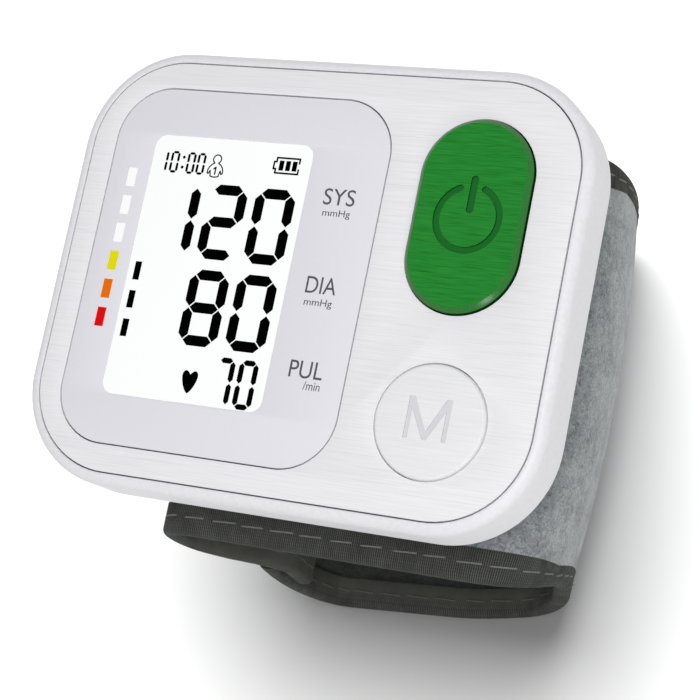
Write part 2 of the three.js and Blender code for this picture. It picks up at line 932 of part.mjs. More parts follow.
// Runs of the outline: a line takes two points and a curve takes four
function sampleRuns(runs, spacing) {
  const points = [];
  for (const run of runs) {
    const curve = run.length === 2 ? new THREE.LineCurve(...run) : new THREE.CubicBezierCurve(...run);
    const steps = Math.max(1, Math.round(curve.getLength() / spacing));
    for (const point of curve.getSpacedPoints(steps)) {
      const last = points[points.length - 1];
      if (!last || last.distanceTo(point) > closestShare * spacing) {
        points.push(point);
      }
    }
  }
  return points;
}

const outlineSpacing = 3;
const turnStepFactor = 1.6;
const closestShare = 0.1;
const seamPlaceShare = 0.5;
const topEdgeShares = { left: -0.62, right: 0.66 };
const rightTurn = at(0.955, 0.78);
const rightFoot = at(0.8, 0.26);
const footRight = at(0.48, 0);
const footLeft = at(-0.4, 0);
const leftTurn = at(-0.615, 0.19);
const strapTip = at(-0.555, 0.595);

const wallRuns = [
  [at(topEdgeShares.left, 1), at(topEdgeShares.right, 1)],
  [at(topEdgeShares.right, 1), at(0.84, 1), at(0.955, 0.95), rightTurn],
  [rightTurn, at(0.955, 0.62), at(0.895, 0.45), rightFoot],
];
const lowerTurn = [rightFoot, at(0.745, 0.11), at(0.655, 0), footRight];
const strapRuns = [
  [footRight, footLeft],
  [footLeft, at(-0.51, 0), at(-0.585, 0.055), leftTurn],
  [leftTurn, at(-0.64, 0.32), at(-0.6, 0.47), strapTip],
];

// The strap starts half way round the lower right turn, one cloth gap past the end of the cuff
const lowerTurnCurve = new THREE.CubicBezierCurve(...lowerTurn);
const halfSeamShare = clothGap / 2 / lowerTurnCurve.getLength();

function sampleLowerTurn(fromShare, toShare) {
  const length = (toShare - fromShare) * lowerTurnCurve.getLength();
  const steps = Math.round((turnStepFactor * length) / outlineSpacing);
  const points = [];
  for (let k = 0; k <= steps; k += 1) {
    points.push(lowerTurnCurve.getPointAt(fromShare + ((toShare - fromShare) * k) / steps));
  }
  return points;
}

// Unit normals that point out of the loop, to the left of the way the outline runs
function outlineNormals(points) {
  return points.map((_, k) => {
    const before = points[Math.max(0, k - 1)];
    const after = points[Math.min(points.length - 1, k + 1)];
    const along = after.clone().sub(before).normalize();
    return new THREE.Vector2(-along.y, along.x);
  });
}

// The cuff slopes a little: its rims drift towards the foot of the display as it goes round,
// and down the right side they come back up
function rimShift(x, z, y) {
  const depthShare = (cuffHeight - z) / cuffHeight;
  const leftShare = Math.min(1, Math.max(0, (cuffReach - x) / (rimFadeShare * cuffReach)));
  const rightShare = THREE.MathUtils.smoothstep(x, riseStartShare * cuffReach, cuffReach);
  const rise = THREE.MathUtils.lerp(nearRise, farRise, (y / cuffHalfWidth + 1) / 2);
  const turned = Math.sin(riseTurn * Math.PI * Math.min(1, Math.max(0, depthShare)));
  return cuffOffset - cuffSkew * depthShare * leftShare + rise * rightShare * turned;
}

// The padded right side swells outward like a barrel between its rims
function sideSwell(x, z, y) {
  const from = at(swellStartShares.reach, swellStartShares.height);
  const full = at(swellFullShares.reach, swellFullShares.height);
  const side = THREE.MathUtils.smoothstep(x, from.x, full.x) * THREE.MathUtils.smoothstep(z, from.y, full.y);
  return cuffSwell * side * (1 - (y / cuffHalfWidth) ** 2);
}

// A layer of the cuff: a closed section, given as anticlockwise [depth into the cuff, place
// along Y] pairs for each share of the way, carried along the outline. Each pair in the first
// half of a section faces one in the second half, and the ends are closed across these.
function layerSolid(points, normals, sectionOf) {
  const positions = [];
  const triangles = [];
  let count = 0;
  points.forEach((point, k) => {
    const section = sectionOf(k / (points.length - 1));
    count = section.length;
    for (const [depth, y] of section) {
      const x = point.x - normals[k].x * depth;
      const z = point.y - normals[k].y * depth;
      positions.push(x + sideSwell(point.x, point.y, y), y + rimShift(point.x, point.y, y), z);
    }
  });
  for (let k = 0; k + 1 < points.length; k += 1) {
    for (let i = 0; i < count; i += 1) {
      const a = k * count + i;
      const b = k * count + ((i + 1) % count);
      triangles.push(a, b, b + count, a, b + count, a + count);
    }
  }
  const last = (points.length - 1) * count;
  for (let a = 0; a + 1 < count / 2; a += 1) {
    const b = a + 1;
    const c = count - 1 - b;
    const d = count - 1 - a;
    triangles.push(a, c, b, a, d, c, last + a, last + b, last + c, last + a, last + c, last + d);
  }
  const geometry = new THREE.BufferGeometry();
  geometry.setAttribute("position", new THREE.BufferAttribute(new Float32Array(positions), 3));
  geometry.setIndex(triangles);
  return toSolid(geometry);
}

function bandSection(depth, thickness, halfWidth) {
  const outer = [];
  for (let k = 0; k <= swellSteps; k += 1) {
    outer.push([depth, halfWidth * (1 - (2 * k) / swellSteps)]);
  }
  const inner = outer.map(([, y]) => [depth + thickness, y]).reverse();
  return outer.concat(inner);
}

// Edge tape folded over the rim: outer leg, web, inner leg
function tapeSection(side, innerDepth) {
  const rim = cuffHalfWidth;
  const leg = rim - tapeWidth;
  const web = rim - tapeThickness;
  const ring = [
    [0, leg],
    [0, rim],
    [innerDepth + tapeThickness, rim],
    [innerDepth + tapeThickness, leg],
    [innerDepth, leg],
    [innerDepth, web],
    [tapeThickness, web],
    [tapeThickness, leg],
  ];
  return side > 0 ? ring.reverse() : ring.map(([depth, y]) => [depth, -y]);
}

const feltHalfWidth = cuffHalfWidth - tapeWidth - clothGap;
const stiffenerHalfWidth = cuffHalfWidth - stiffenerMargin;
const bladderHalfWidth = cuffHalfWidth - bladderMargin;
const hookHalfWidth = cuffHalfWidth - hookMargin;
const liningHalfWidth = cuffHalfWidth - tapeThickness - clothGap;
const thinLiningDepth = feltThickness + clothGap;
const stiffenerDepth = feltThickness + clothGap;
const bladderDepth = stiffenerDepth + stiffenerThickness + clothGap;
const wallLiningDepth = bladderDepth + bladderThickness + clothGap;
const tapeInnerDepth = thinLiningDepth + liningThickness + clothGap;
const strapInnerDepth = tapeInnerDepth + tapeThickness;
const padHalfWidth = stiffenerHalfWidth + clothGap;

// The left flap hangs inside the strap's free end, with the hook patch between them
const strapPoints = sampleLowerTurn(seamPlaceShare + halfSeamShare, 1).concat(
  sampleRuns(strapRuns, outlineSpacing).slice(1),
);
const strapNormals = outlineNormals(strapPoints);
const seamAlong = lowerTurnCurve.getTangentAt(seamPlaceShare);
const seamNormal = new THREE.Vector2(-seamAlong.y, seamAlong.x);
strapNormals[0] = seamNormal;
const flapDepth = strapInnerDepth + clothGap + hookThickness + clothGap;
const flapOverlapShare = 0.14;
const flapTail = strapPoints
  .map((point, k) => point.clone().addScaledVector(strapNormals[k], -flapDepth))
  .slice(Math.round(strapPoints.length * (1 - flapOverlapShare)), strapPoints.length - 1);
const tailTop = flapTail[flapTail.length - 1];
const topLeft = at(topEdgeShares.left, 1);
const lobeLeft = at(-0.84, 0.84);
const flapRuns = [
  [topLeft, at(-0.74, 1), at(-0.84, 0.96), lobeLeft],
  [lobeLeft, at(-0.84, 0.6), at(-0.4, 0.7), tailTop],
];

const lobePoints = sampleRuns(flapRuns, outlineSpacing).reverse();
const wallPoints = sampleRuns(wallRuns, outlineSpacing);
const rootPoints = flapTail
  .concat(lobePoints.slice(1))
  .concat(wallPoints.slice(1))
  .concat(sampleLowerTurn(0, seamPlaceShare - halfSeamShare).slice(1));
const rootNormals = outlineNormals(rootPoints);
rootNormals[rootNormals.length - 1] = seamNormal;

// How much of the padded depth the cuff has at a share of the way round: thin in the flap and
// where the strap starts, padded under the case and down the right side
const padStartShare = (flapTail.length + lobePoints.length) / rootPoints.length;
const padFadeShare = 0.07;
const padEndShare = 1 - padFadeShare;
function padAt(share) {
  const rise = THREE.MathUtils.smoothstep(share, padStartShare - padFadeShare, padStartShare);
  const fall = THREE.MathUtils.smoothstep(share, padEndShare - padFadeShare, padEndShare);
  return rise * (1 - fall);
}

function rootLiningDepth(share) {
  return thinLiningDepth + (wallLiningDepth - thinLiningDepth) * padAt(share);
}

// The lining goes round the padding between its rims, and lies close to the felt under the tape
function liningSection(depth) {
  const outer = [[thinLiningDepth, liningHalfWidth], [thinLiningDepth, feltHalfWidth]];
  for (let k = 0; k <= swellSteps; k += 1) {
    outer.push([depth, padHalfWidth * (1 - (2 * k) / swellSteps)]);
  }
  outer.push([thinLiningDepth, -feltHalfWidth], [thinLiningDepth, -liningHalfWidth]);
  const inner = outer.map(([outerDepth, y]) => [outerDepth + liningThickness, y]).reverse();
  return outer.concat(inner);
}

function cutPart(points, normals, fromShare, toShare) {
  const from = Math.round((points.length - 1) * fromShare);
  const to = Math.round((points.length - 1) * toShare) + 1;
  return [points.slice(from, to), normals.slice(from, to)];
}

function cuffHoles(solid, places, diameter) {
  let cut = solid;
  for (const [x, y] of places) {
    cut = cut.subtract(cylinderSolid(x, y, cuffHeight / 2, faceZ, diameter));
  }
  return cut;
}

function makeCuffFelt() {
  const felt = layerSolid(rootPoints, rootNormals, () => bandSection(0, feltThickness, feltHalfWidth));
  const studHoles = cuffHoles(felt, studPlaces, studDiameter + 2 * seatGap);
  return cuffHoles(studHoles, [[manifoldX, 0]], nozzleDiameter + 2 * seatGap);
}

function makeCuffLining() {
  return layerSolid(rootPoints, rootNormals, (share) => liningSection(rootLiningDepth(share)));
}

function makeCuffTape(side) {
  return layerSolid(rootPoints, rootNormals, () => tapeSection(side, tapeInnerDepth));
}

const shellStart = padStartShare;
const shellEnd = padEndShare - padFadeShare;

function makeStiffener() {
  const [points, normals] = cutPart(rootPoints, rootNormals, shellStart, shellEnd);
  let body = layerSolid(points, normals, () =>
    bandSection(stiffenerDepth, stiffenerThickness, stiffenerHalfWidth),
  );
  body = cuffHoles(body, [[manifoldX, 0]], nozzleDiameter + 2 * seatGap);
  const footZ = cuffHeight - stiffenerDepth - stiffenerThickness / 2;
  const headZ = floorZ + seatGap;
  for (const [x, y] of studPlaces) {
    body = body
      .add(cylinderSolid(x, y, footZ, headZ + studHeadHeight, studDiameter))
      .add(cylinderSolid(x, y, headZ, headZ + studHeadHeight, studHeadDiameter));
  }
  return body;
}

function makeBladder() {
  const [points, normals] = cutPart(rootPoints, rootNormals, shellStart, shellEnd);
  const pad = layerSolid(points, normals, () =>
    bandSection(bladderDepth, bladderThickness, bladderHalfWidth),
  );
  const footZ = cuffHeight - bladderDepth - bladderThickness / 2;
  const nozzleTopZ = floorZ + nozzleLength;
  const nozzle = cylinderSolid(manifoldX, 0, footZ, nozzleTopZ, nozzleDiameter);
  const bore = cylinderSolid(manifoldX, 0, footZ, nozzleTopZ + overrun, nozzleBore, roundSteps / 2);
  return pad.add(nozzle).subtract(bore);
}

function makeHookPatch() {
  const from = Math.round(strapPoints.length * (1 - flapOverlapShare));
  const points = strapPoints.slice(from, strapPoints.length - 1);
  const normals = strapNormals.slice(from, strapPoints.length - 1);
  return layerSolid(points, normals, () =>
    bandSection(strapInnerDepth + clothGap, hookThickness, hookHalfWidth),
  );
}

function makeStrapFelt() {
  return layerSolid(strapPoints, strapNormals, () => bandSection(0, feltThickness, feltHalfWidth));
}

function makeStrapLining() {
  return layerSolid(strapPoints, strapNormals, () =>
    bandSection(thinLiningDepth, liningThickness, liningHalfWidth),
  );
}

function makeStrapTape(side) {
  return layerSolid(strapPoints, strapNormals, () => tapeSection(side, tapeInnerDepth));
}

// Assembly

addSolid("front_housing", makeFrontHousing(), finishes.whitePlastic);
addSolid("fascia_plate", makeFascia(), finishes.brushedPlate);
addSolid(
  "display_window",
  plateSolid(windowWidth, windowHeight, windowCorner, faceZ - fasciaThickness, faceZ, windowX, windowY),
  finishes.windowPlastic,
);
addSolid("display_mask", makeMask(), finishes.maskFilm);
addSolid(
  "display_glass",
  plateSolid(glassWidth, glassHeight, viewCorner, glassUnderZ, glassTopZ, glassX, windowY),
  finishes.displayGlass,
);
addSolid(
  "display_backlight",
  plateSolid(
    glassWidth,
    glassHeight,
    viewCorner,
    backlightUnderZ,
    backlightUnderZ + backlightThickness,
    glassX,
    windowY,
  ),
  finishes.backlight,
);
addSolid("circuit_board", makeBoard(), finishes.board);
addSolid(
  "start_button",
  makeButton(startButtonWidth, startButtonHeight, startButtonY, buttonRise),
  finishes.greenPlastic,
);
addSolid(
  "memory_button",
  makeButton(memoryButtonDiameter, memoryButtonDiameter, memoryButtonY, memoryRise),
  finishes.whitePlastic,
);
addSolid("start_switch", makeSwitch(startButtonY), finishes.blackPlastic);
addSolid("memory_switch", makeSwitch(memoryButtonY), finishes.blackPlastic);
addSolid(
  "processor_chip",
  boxSolid(
    chipX - chipSize / 2,
    chipX + chipSize / 2,
    chipY - chipSize / 2,
    chipY + chipSize / 2,
    boardUnderZ - seatGap - chipHeight,
    boardUnderZ - seatGap,
  ),
  finishes.blackPlastic,
);
addSolid("pressure_sensor", makeSensor(), finishes.blackPlastic);
addSolid("pump_motor", makePumpMotor(), finishes.steel);
addSolid("pump_head", makePumpHead(), finishes.blackPlastic);
addSolid("release_valve", makeValve(), finishes.steel);
addSolid("air_manifold", makeManifold(), finishes.blackPlastic);

const armEnd = manifoldDiameter / 2 + seatGap;
addSolid("pump_hose", makeStraightHose(pumpFace + seatGap, -armEnd), finishes.silicone);
addSolid("valve_hose", makeStraightHose(armEnd, valveFace - seatGap), finishes.silicone);
addSolid("sensor_hose", makeSensorHose(), finishes.silicone);

cellCentres.forEach((x, k) => {
  const pointing = k === 0 ? 1 : -1;
  const cell = makeCell(x, pointing);
  const name = k === 0 ? "outer" : "inner";
  addSolid(`battery_${name}`, cell.solid, finishes.cellJacket);
  const plateY = -pointing * (bayInnerHalf - seatGap / 2 - contactThickness);
  const wireGap = springWire / 2 + seatGap;
  addSolid(
    `contact_spring_${name}`,
    makeSpring(x, plateY + pointing * wireGap, cell.foot - pointing * wireGap, pointing),
    finishes.steel,
  );
});
addSolid("contact_bridge", contactPlate(1, cellCentres[0], cellCentres[1]), finishes.copperZinc);
addSolid("contact_plate_outer", contactPlate(-1, cellCentres[0], cellCentres[0]), finishes.copperZinc);
addSolid("contact_plate_inner", contactPlate(-1, cellCentres[1], cellCentres[1]), finishes.copperZinc);

addSolid("rear_housing", makeRearHousing(), finishes.whitePlastic);
addSolid("battery_door", makeBatteryDoor(), finishes.whitePlastic);
screwPlaces.forEach(([x, y], k) => addSolid(`case_screw_${k + 1}`, makeScrew(x, y), finishes.steel));

addSolid("cuff_felt", makeCuffFelt(), finishes.felt);
addSolid("cuff_stiffener", makeStiffener(), finishes.stiffener);
addSolid("air_bladder", makeBladder(), finishes.rubber);
addSolid("cuff_lining", makeCuffLining(), finishes.lining);
addSolid("cuff_tape_near", makeCuffTape(-1), finishes.tape);
addSolid("cuff_tape_far", makeCuffTape(1), finishes.tape);
addSolid("hook_patch", makeHookPatch(), finishes.blackPlastic);
addSolid("strap_felt", makeStrapFelt(), finishes.felt);
addSolid("strap_lining", makeStrapLining(), finishes.lining);
addSolid("strap_tape_near", makeStrapTape(-1), finishes.tape);
addSolid("strap_tape_far", makeStrapTape(1), finishes.tape);

export default model;
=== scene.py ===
"""Looks of the wrist blood pressure monitor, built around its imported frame.

Lengths are written in millimetres and turned into metres where a mesh is made.
+Z points out of the display, +Y is its top and the wrist lies along Y.
"""
import math

import bmesh
import bpy
import numpy as np
from mathutils import Matrix, Vector


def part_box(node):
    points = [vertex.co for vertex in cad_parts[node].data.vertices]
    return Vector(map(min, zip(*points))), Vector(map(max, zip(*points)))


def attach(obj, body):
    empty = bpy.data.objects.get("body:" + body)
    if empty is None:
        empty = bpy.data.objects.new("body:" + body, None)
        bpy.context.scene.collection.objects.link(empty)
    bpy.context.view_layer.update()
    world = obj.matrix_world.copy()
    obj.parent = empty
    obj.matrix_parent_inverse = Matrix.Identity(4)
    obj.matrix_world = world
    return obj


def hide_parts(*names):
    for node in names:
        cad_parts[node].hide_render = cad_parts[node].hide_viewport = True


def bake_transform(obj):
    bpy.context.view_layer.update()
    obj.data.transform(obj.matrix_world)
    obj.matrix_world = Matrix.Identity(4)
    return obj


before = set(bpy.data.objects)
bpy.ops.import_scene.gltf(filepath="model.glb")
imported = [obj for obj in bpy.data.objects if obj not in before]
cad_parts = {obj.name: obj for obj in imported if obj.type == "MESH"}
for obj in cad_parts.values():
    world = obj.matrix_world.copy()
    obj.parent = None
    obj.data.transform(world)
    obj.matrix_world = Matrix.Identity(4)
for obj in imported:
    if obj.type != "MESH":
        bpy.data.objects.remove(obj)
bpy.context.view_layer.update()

MM = 0.001
MONITOR = "monitor"


def frame_box(node):
    """A node's lowest and highest corner, in millimetres."""
    low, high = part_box(node)
    return np.array(low) / MM, np.array(high) / MM


def grown(shape, reach):
    """A rounded rectangle (width, height, corner) with its sides moved out by a reach."""
    width, height, corner = shape
    return (width + 2 * reach, height + 2 * reach, corner + reach)


# Sizes and places read from the frame
case_low, case_high = frame_box("front_housing")
plate_low, plate_high = frame_box("fascia_plate")
window_low, window_high = frame_box("display_window")
start_low, start_high = frame_box("start_button")
memory_low, memory_high = frame_box("memory_button")

FACE_Z = plate_high[2]
PARTING_Z = case_low[2]
PLATE_THICKNESS = FACE_Z - plate_low[2]
WINDOW_X = (window_low[0] + window_high[0]) / 2
BUTTON_X, START_Y = (start_low[:2] + start_high[:2]) / 2
MEMORY_Y = (memory_low[1] + memory_high[1]) / 2
START_TOP = start_high[2]
MEMORY_TOP = memory_high[2]
CUFF_HEIGHT = frame_box("cuff_felt")[1][2]

# Sizes that the frame's boxes don't give
CASE_WALL = 1.8
PARTING_CHAMFER = 0.25
BEZEL_ROUND = 1.5
LIP = 0.12
SEAM = 0.2
SEAM_DEPTH = 0.55
SEAM_THICKNESS = 0.3
SEAM_EDGE = 0.02
SEAM_OVERLAP = 0.1
SHEET_EDGE = 0.08
DECK_DROP = 0.3
DECK_THICKNESS = 1.8
DECK_MARGIN = 9
DECK_CORNER_LESS = 4
FLANGE = 1.1
FLANGE_THICKNESS = 0.9
MEMORY_CLEARANCE = 0.22
CORNER_STEPS = 20
BUTTON_STEPS = 32

# Rounded rectangles as (width, height, corner)
CASE = (*(case_high - case_low)[:2], 16.0)
PLATE = (*(plate_high - plate_low)[:2], 14.0)
WINDOW = (*(window_high - window_low)[:2], 8.5)
start_width, start_height = (start_high - start_low)[:2] - 2 * FLANGE
START = (start_width, start_height, start_width / 2)
memory_width = memory_high[0] - memory_low[0] - 2 * FLANGE - MEMORY_CLEARANCE
MEMORY = (memory_width, memory_width, memory_width / 2)


# Meshes

WELD = 0.002
FINE_WELD = 0.0005
TEXT_WELD = 0.0001


def placed(name, data):
    """A new object in the scene."""
    made = bpy.data.objects.new(name, data)
    bpy.context.scene.collection.objects.link(made)
    return made


def mesh_piece(name, points, faces, finish):
    """An object from points in millimetres, smooth except across sharp edges."""
    mesh = bpy.data.meshes.new(name)
    mesh.from_pydata((np.array(points, float) * MM).tolist(), [], faces)
    piece = placed(name, mesh)
    finish_piece(piece, finish)
    return piece


def finish_piece(piece, finish, sharp_angle=32):
    """Gives a piece its material and its smooth and sharp edges."""
    mesh = piece.data
    mesh.update()
    mesh.polygons.foreach_set("use_smooth", [True] * len(mesh.polygons))
    mesh.set_sharp_from_angle(angle=math.radians(sharp_angle))
    if not mesh.materials:
        mesh.materials.append(finish)


def baked(source, name):
    """A plain mesh object that holds what a source object's modifiers make of it."""
    graph = bpy.context.evaluated_depsgraph_get()
    graph.update()
    mesh = bpy.data.meshes.new_from_object(source.evaluated_get(graph), depsgraph=graph)
    mesh.name = name
    bpy.data.objects.remove(source)
    return placed(name, mesh)


def weld(piece, distance=WELD):
    """Merges doubled points, unless the distance is 0, and turns all the faces outwards."""
    shape = bmesh.new()
    shape.from_mesh(piece.data)
    if distance:
        bmesh.ops.remove_doubles(shape, verts=shape.verts, dist=distance * MM)
    bmesh.ops.recalc_face_normals(shape, faces=shape.faces)
    shape.to_mesh(piece.data)
    shape.free()


def arc(centre, radius, start, end, count):
    """Points on an arc between two angles in degrees."""
    angles = np.radians(np.linspace(start, end, count))
    return [(centre[0] + radius * math.cos(a), centre[1] + radius * math.sin(a)) for a in angles]


def ring(width, height, corner, x=0.0, y=0.0, steps=CORNER_STEPS):
    """Points of a rounded rectangle, anticlockwise."""
    radius = min(corner, width / 2, height / 2)
    points = []
    for quarter, (sx, sy) in enumerate(((1, 1), (-1, 1), (-1, -1), (1, -1))):
        centre = (x + sx * (width / 2 - radius), y + sy * (height / 2 - radius))
        points += arc(centre, radius, 90 * quarter, 90 * quarter + 90, steps + 1)
    return points


def walls(start, count):
    """Faces between one ring of points and the ring that follows it."""
    return [(start + i, start + (i + 1) % count, start + count + (i + 1) % count, start + count + i)
            for i in range(count)]


def stacked(levels, x=0.0, y=0.0, caps=True, steps=CORNER_STEPS):
    """Points and faces of rounded rectangles joined in turn. A level is (z, width, height, corner)."""
    points = []
    for z, width, height, corner in levels:
        points += [(px, py, z) for px, py in ring(width, height, corner, x, y, steps)]
    count = len(points) // len(levels)
    faces = []
    for k in range(len(levels) - 1):
        faces += walls(k * count, count)
    if caps:
        faces.append(tuple(reversed(range(count))))
        faces.append(tuple(range(len(points) - count, len(points))))
    return points, faces


def rounded_edge(z, width, height, corner, radius, steps):
    """Levels that turn a straight side into a flat top at height z."""
    levels = []
    for k in range(steps + 1):
        angle = k / steps * math.pi / 2
        inset = radius * (1 - math.cos(angle))
        levels.append((z - radius + radius * math.sin(angle), *grown((width, height, corner), -inset)))
    return levels


def flat_sheet(name, outlines, top_z, thickness, edge, finish):
    """A plate with holes: the first outline is its rim and the others are openings."""
    curve = bpy.data.curves.new(name, "CURVE")
    curve.dimensions = "2D"
    curve.fill_mode = "BOTH"
    for outline in outlines:
        spline = curve.splines.new("POLY")
        spline.points.add(len(outline) - 1)
        for point, (x, y) in zip(spline.points, outline):
            point.co = (x * MM, y * MM, 0, 1)
        spline.use_cyclic_u = True
    curve.offset = -edge * MM
    curve.bevel_depth = edge * MM
    curve.bevel_resolution = 2
    curve.extrude = (thickness / 2 - edge) * MM
    piece = baked(placed(name + "_curve", curve), name)
    piece.data.transform(Matrix.Translation((0, 0, (top_z - thickness / 2) * MM)))
    weld(piece)
    finish_piece(piece, finish)
    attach(piece, MONITOR)
    return piece


def polygons_piece(name, polygons, z, thickness, finish):
    """Flat solids from polygons, each a list of points, raised by a thickness."""
    points = []
    faces = []
    for polygon in polygons:
        start = len(points)
        count = len(polygon)
        points += [(x, y, z) for x, y in polygon]
        points += [(x, y, z + thickness) for x, y in polygon]
        faces.append(tuple(range(start + count, start + 2 * count)))
        faces.append(tuple(reversed(range(start, start + count))))
        faces += walls(start, count)
    piece = mesh_piece(name, points, faces, finish)
    weld(piece, FINE_WELD)
    return piece


# Nodes

FLOAT = "NodeSocketFloat"
COLOUR = "NodeSocketColor"
VECTOR = "NodeSocketVector"
BLACK = (0.0, 0.0, 0.0, 1.0)
WHITE = (1.0, 1.0, 1.0, 1.0)


def fill(made, inputs):
    """Sets a node's inputs. An input is a value or another node's socket."""
    for key, value in inputs.items():
        socket = made.inputs[key]
        if isinstance(value, bpy.types.NodeSocket):
            made.id_data.links.new(value, socket)
        else:
            socket.default_value = value


def node(tree, kind, inputs=None, **settings):
    """Adds a shader or geometry node."""
    made = tree.nodes.new(kind)
    for key, value in settings.items():
        setattr(made, key, value)
    fill(made, inputs or {})
    return made


def maths(tree, operation, *values):
    """The outcome of an operation on numbers or sockets."""
    return node(tree, "ShaderNodeMath", dict(enumerate(values)), operation=operation).outputs[0]


def ranged(tree, value, low, high, to_low=0.0, to_high=1.0):
    """A value mapped from one range to another."""
    return node(tree, "ShaderNodeMapRange", {
        "Value": value, "From Min": low, "From Max": high,
        "To Min": to_low, "To Max": to_high}).outputs["Result"]


def mixed(tree, factor, first, second):
    """A colour between two colours."""
    return node(tree, "ShaderNodeMix", {"Factor": factor, "A": first, "B": second},
                data_type="RGBA").outputs[2]


def noise(tree, vector, scale, detail, **inputs):
    return node(tree, "ShaderNodeTexNoise", {
        "Vector": vector, "Scale": scale, "Detail": detail, **inputs}).outputs["Fac"]


def object_place(tree):
    return node(tree, "ShaderNodeTexCoord").outputs["Object"]


def node_group(name, kind, inputs, outputs, build):
    """A node group. inputs are (name, kind, default), outputs are (name, kind), and build gives
    a socket for every output."""
    tree = bpy.data.node_groups.new(name, kind)
    for label, value_kind, default in inputs:
        socket = tree.interface.new_socket(label, in_out="INPUT", socket_type=value_kind)
        if default:
            socket.default_value = default
    for label, value_kind in outputs:
        tree.interface.new_socket(label, in_out="OUTPUT", socket_type=value_kind)
    made = build(tree, tree.nodes.new("NodeGroupInput").outputs)
    for value, socket in zip(made, tree.nodes.new("NodeGroupOutput").inputs):
        tree.links.new(value, socket)
    return tree


def build_strokes(tree, given):
    """Fine brushed strokes along X, with a few deeper ones."""
    stretched = node(tree, "ShaderNodeMapping", {
        "Vector": object_place(tree), "Scale": given["Stretch"]}).outputs["Vector"]
    fine = noise(tree, stretched, 1.0, 2.0)
    broad = noise(tree, stretched, 0.7, 1.0)
    deep = ranged(tree, broad, 0.62, 0.78, to_high=0.35)
    return [maths(tree, "SUBTRACT", fine, deep)]


def build_grain(tree, given):
    """Soft even moulding grain."""
    return [noise(tree, object_place(tree), given["Scale"], 4.0)]


def build_felt(tree, given):
    """Mottled felt: cloudy patches, short fibres and their height."""
    place = object_place(tree)
    clouds = noise(tree, place, 210.0, 5.0, Roughness=0.7)
    fibres = noise(tree, place, 1500.0, 3.0, Distortion=1.5)
    height = maths(tree, "ADD", clouds, fibres)
    return [mixed(tree, ranged(tree, height, 0.76, 1.24), given["Dark"], given["Light"]), height]


# Where a tape's inner leg begins, in metres across its cloth
INNER_LEG = (0.0066, 0.0082)
RIB_WAVE = 924.0
WEFT_WAVE = 640.0


def build_threads(tree, given):
    """Woven ribs on a UV map laid in metres along and across a tape, plainer on its inner leg."""
    place = node(tree, "ShaderNodeUVMap", uv_map="cloth").outputs["UV"]
    ribs = node(tree, "ShaderNodeTexWave", {
        "Vector": place, "Scale": RIB_WAVE, "Distortion": 0.9, "Detail": 1.0,
        "Detail Scale": 0.6, "Phase Offset": math.pi / 2}, wave_type="BANDS", bands_direction="X")
    weft = node(tree, "ShaderNodeTexWave", {
        "Vector": place, "Scale": WEFT_WAVE, "Distortion": 1.6, "Detail": 1.0},
        wave_type="BANDS", bands_direction="Y")
    cloudy = noise(tree, place, 260.0, 4.0, Roughness=0.6)
    crossed = maths(tree, "MULTIPLY_ADD", weft.outputs["Fac"], 0.3, 0.7)
    threads = maths(tree, "MULTIPLY", ribs.outputs["Fac"], crossed)
    height = maths(tree, "MULTIPLY", threads, cloudy)
    tint = mixed(tree, ranged(tree, height, 0.0, 0.62), given["Dark"], given["Light"])
    across = node(tree, "ShaderNodeSeparateXYZ", {"Vector": place}).outputs["Y"]
    inside = mixed(tree, cloudy, given["Inside Dark"], given["Inside Light"])
    return [mixed(tree, ranged(tree, across, *INNER_LEG), tint, inside), height]


TINTS = [("Dark", COLOUR, BLACK), ("Light", COLOUR, WHITE)]
INSIDE_TINTS = [("Inside Dark", COLOUR, BLACK), ("Inside Light", COLOUR, WHITE)]
SURFACE = [("Color", COLOUR), ("Height", FLOAT)]
SHADER = "ShaderNodeTree"
STROKES = node_group("brushed_strokes", SHADER, [("Stretch", VECTOR, (60, 3200, 3200))],
                     [("Stroke", FLOAT)], build_strokes)
GRAIN = node_group("moulding_grain", SHADER, [("Scale", FLOAT, 900.0)], [("Grain", FLOAT)],
                   build_grain)
FELT = node_group("felt_mottle", SHADER, TINTS, SURFACE, build_felt)
THREADS = node_group("tape_threads", SHADER, TINTS + INSIDE_TINTS, SURFACE, build_threads)


# Materials

def linear(colour):
    """A colour given in display values of 0 to 255, as the shader's linear numbers."""
    shares = [value / 255 for value in colour]
    return (*(s / 12.92 if s <= 0.04045 else ((s + 0.055) / 1.055) ** 2.4 for s in shares), 1.0)


def new_material(name, colour, roughness, specular=0.5, metallic=0.0, **sockets):
    """A material, its node tree and its Principled shader."""
    made = bpy.data.materials.new(name)
    made.use_nodes = True
    tree = made.node_tree
    shader = tree.nodes["Principled BSDF"]
    fill(shader, {"Base Color": colour, "Roughness": roughness, "Specular IOR Level": specular,
                  "Metallic": metallic, "Emission Color": colour})
    fill(shader, {key.replace("_", " "): value for key, value in sockets.items()})
    return made, tree, shader


def bumped(tree, height, strength, distance):
    """A normal raised by a height, with a distance in millimetres."""
    return node(tree, "ShaderNodeBump", {
        "Height": height, "Strength": strength, "Distance": distance * MM}).outputs["Normal"]


def surfaced(tree, shader, mask, tints, span, roughness, bump):
    """Drives a shader's colour, roughness and relief by a mask."""
    fill(shader, {
        "Base Color": mixed(tree, ranged(tree, mask, *span), *tints),
        "Roughness": ranged(tree, mask, 0.3, 0.7, *roughness),
        "Normal": bumped(tree, mask, *bump)})


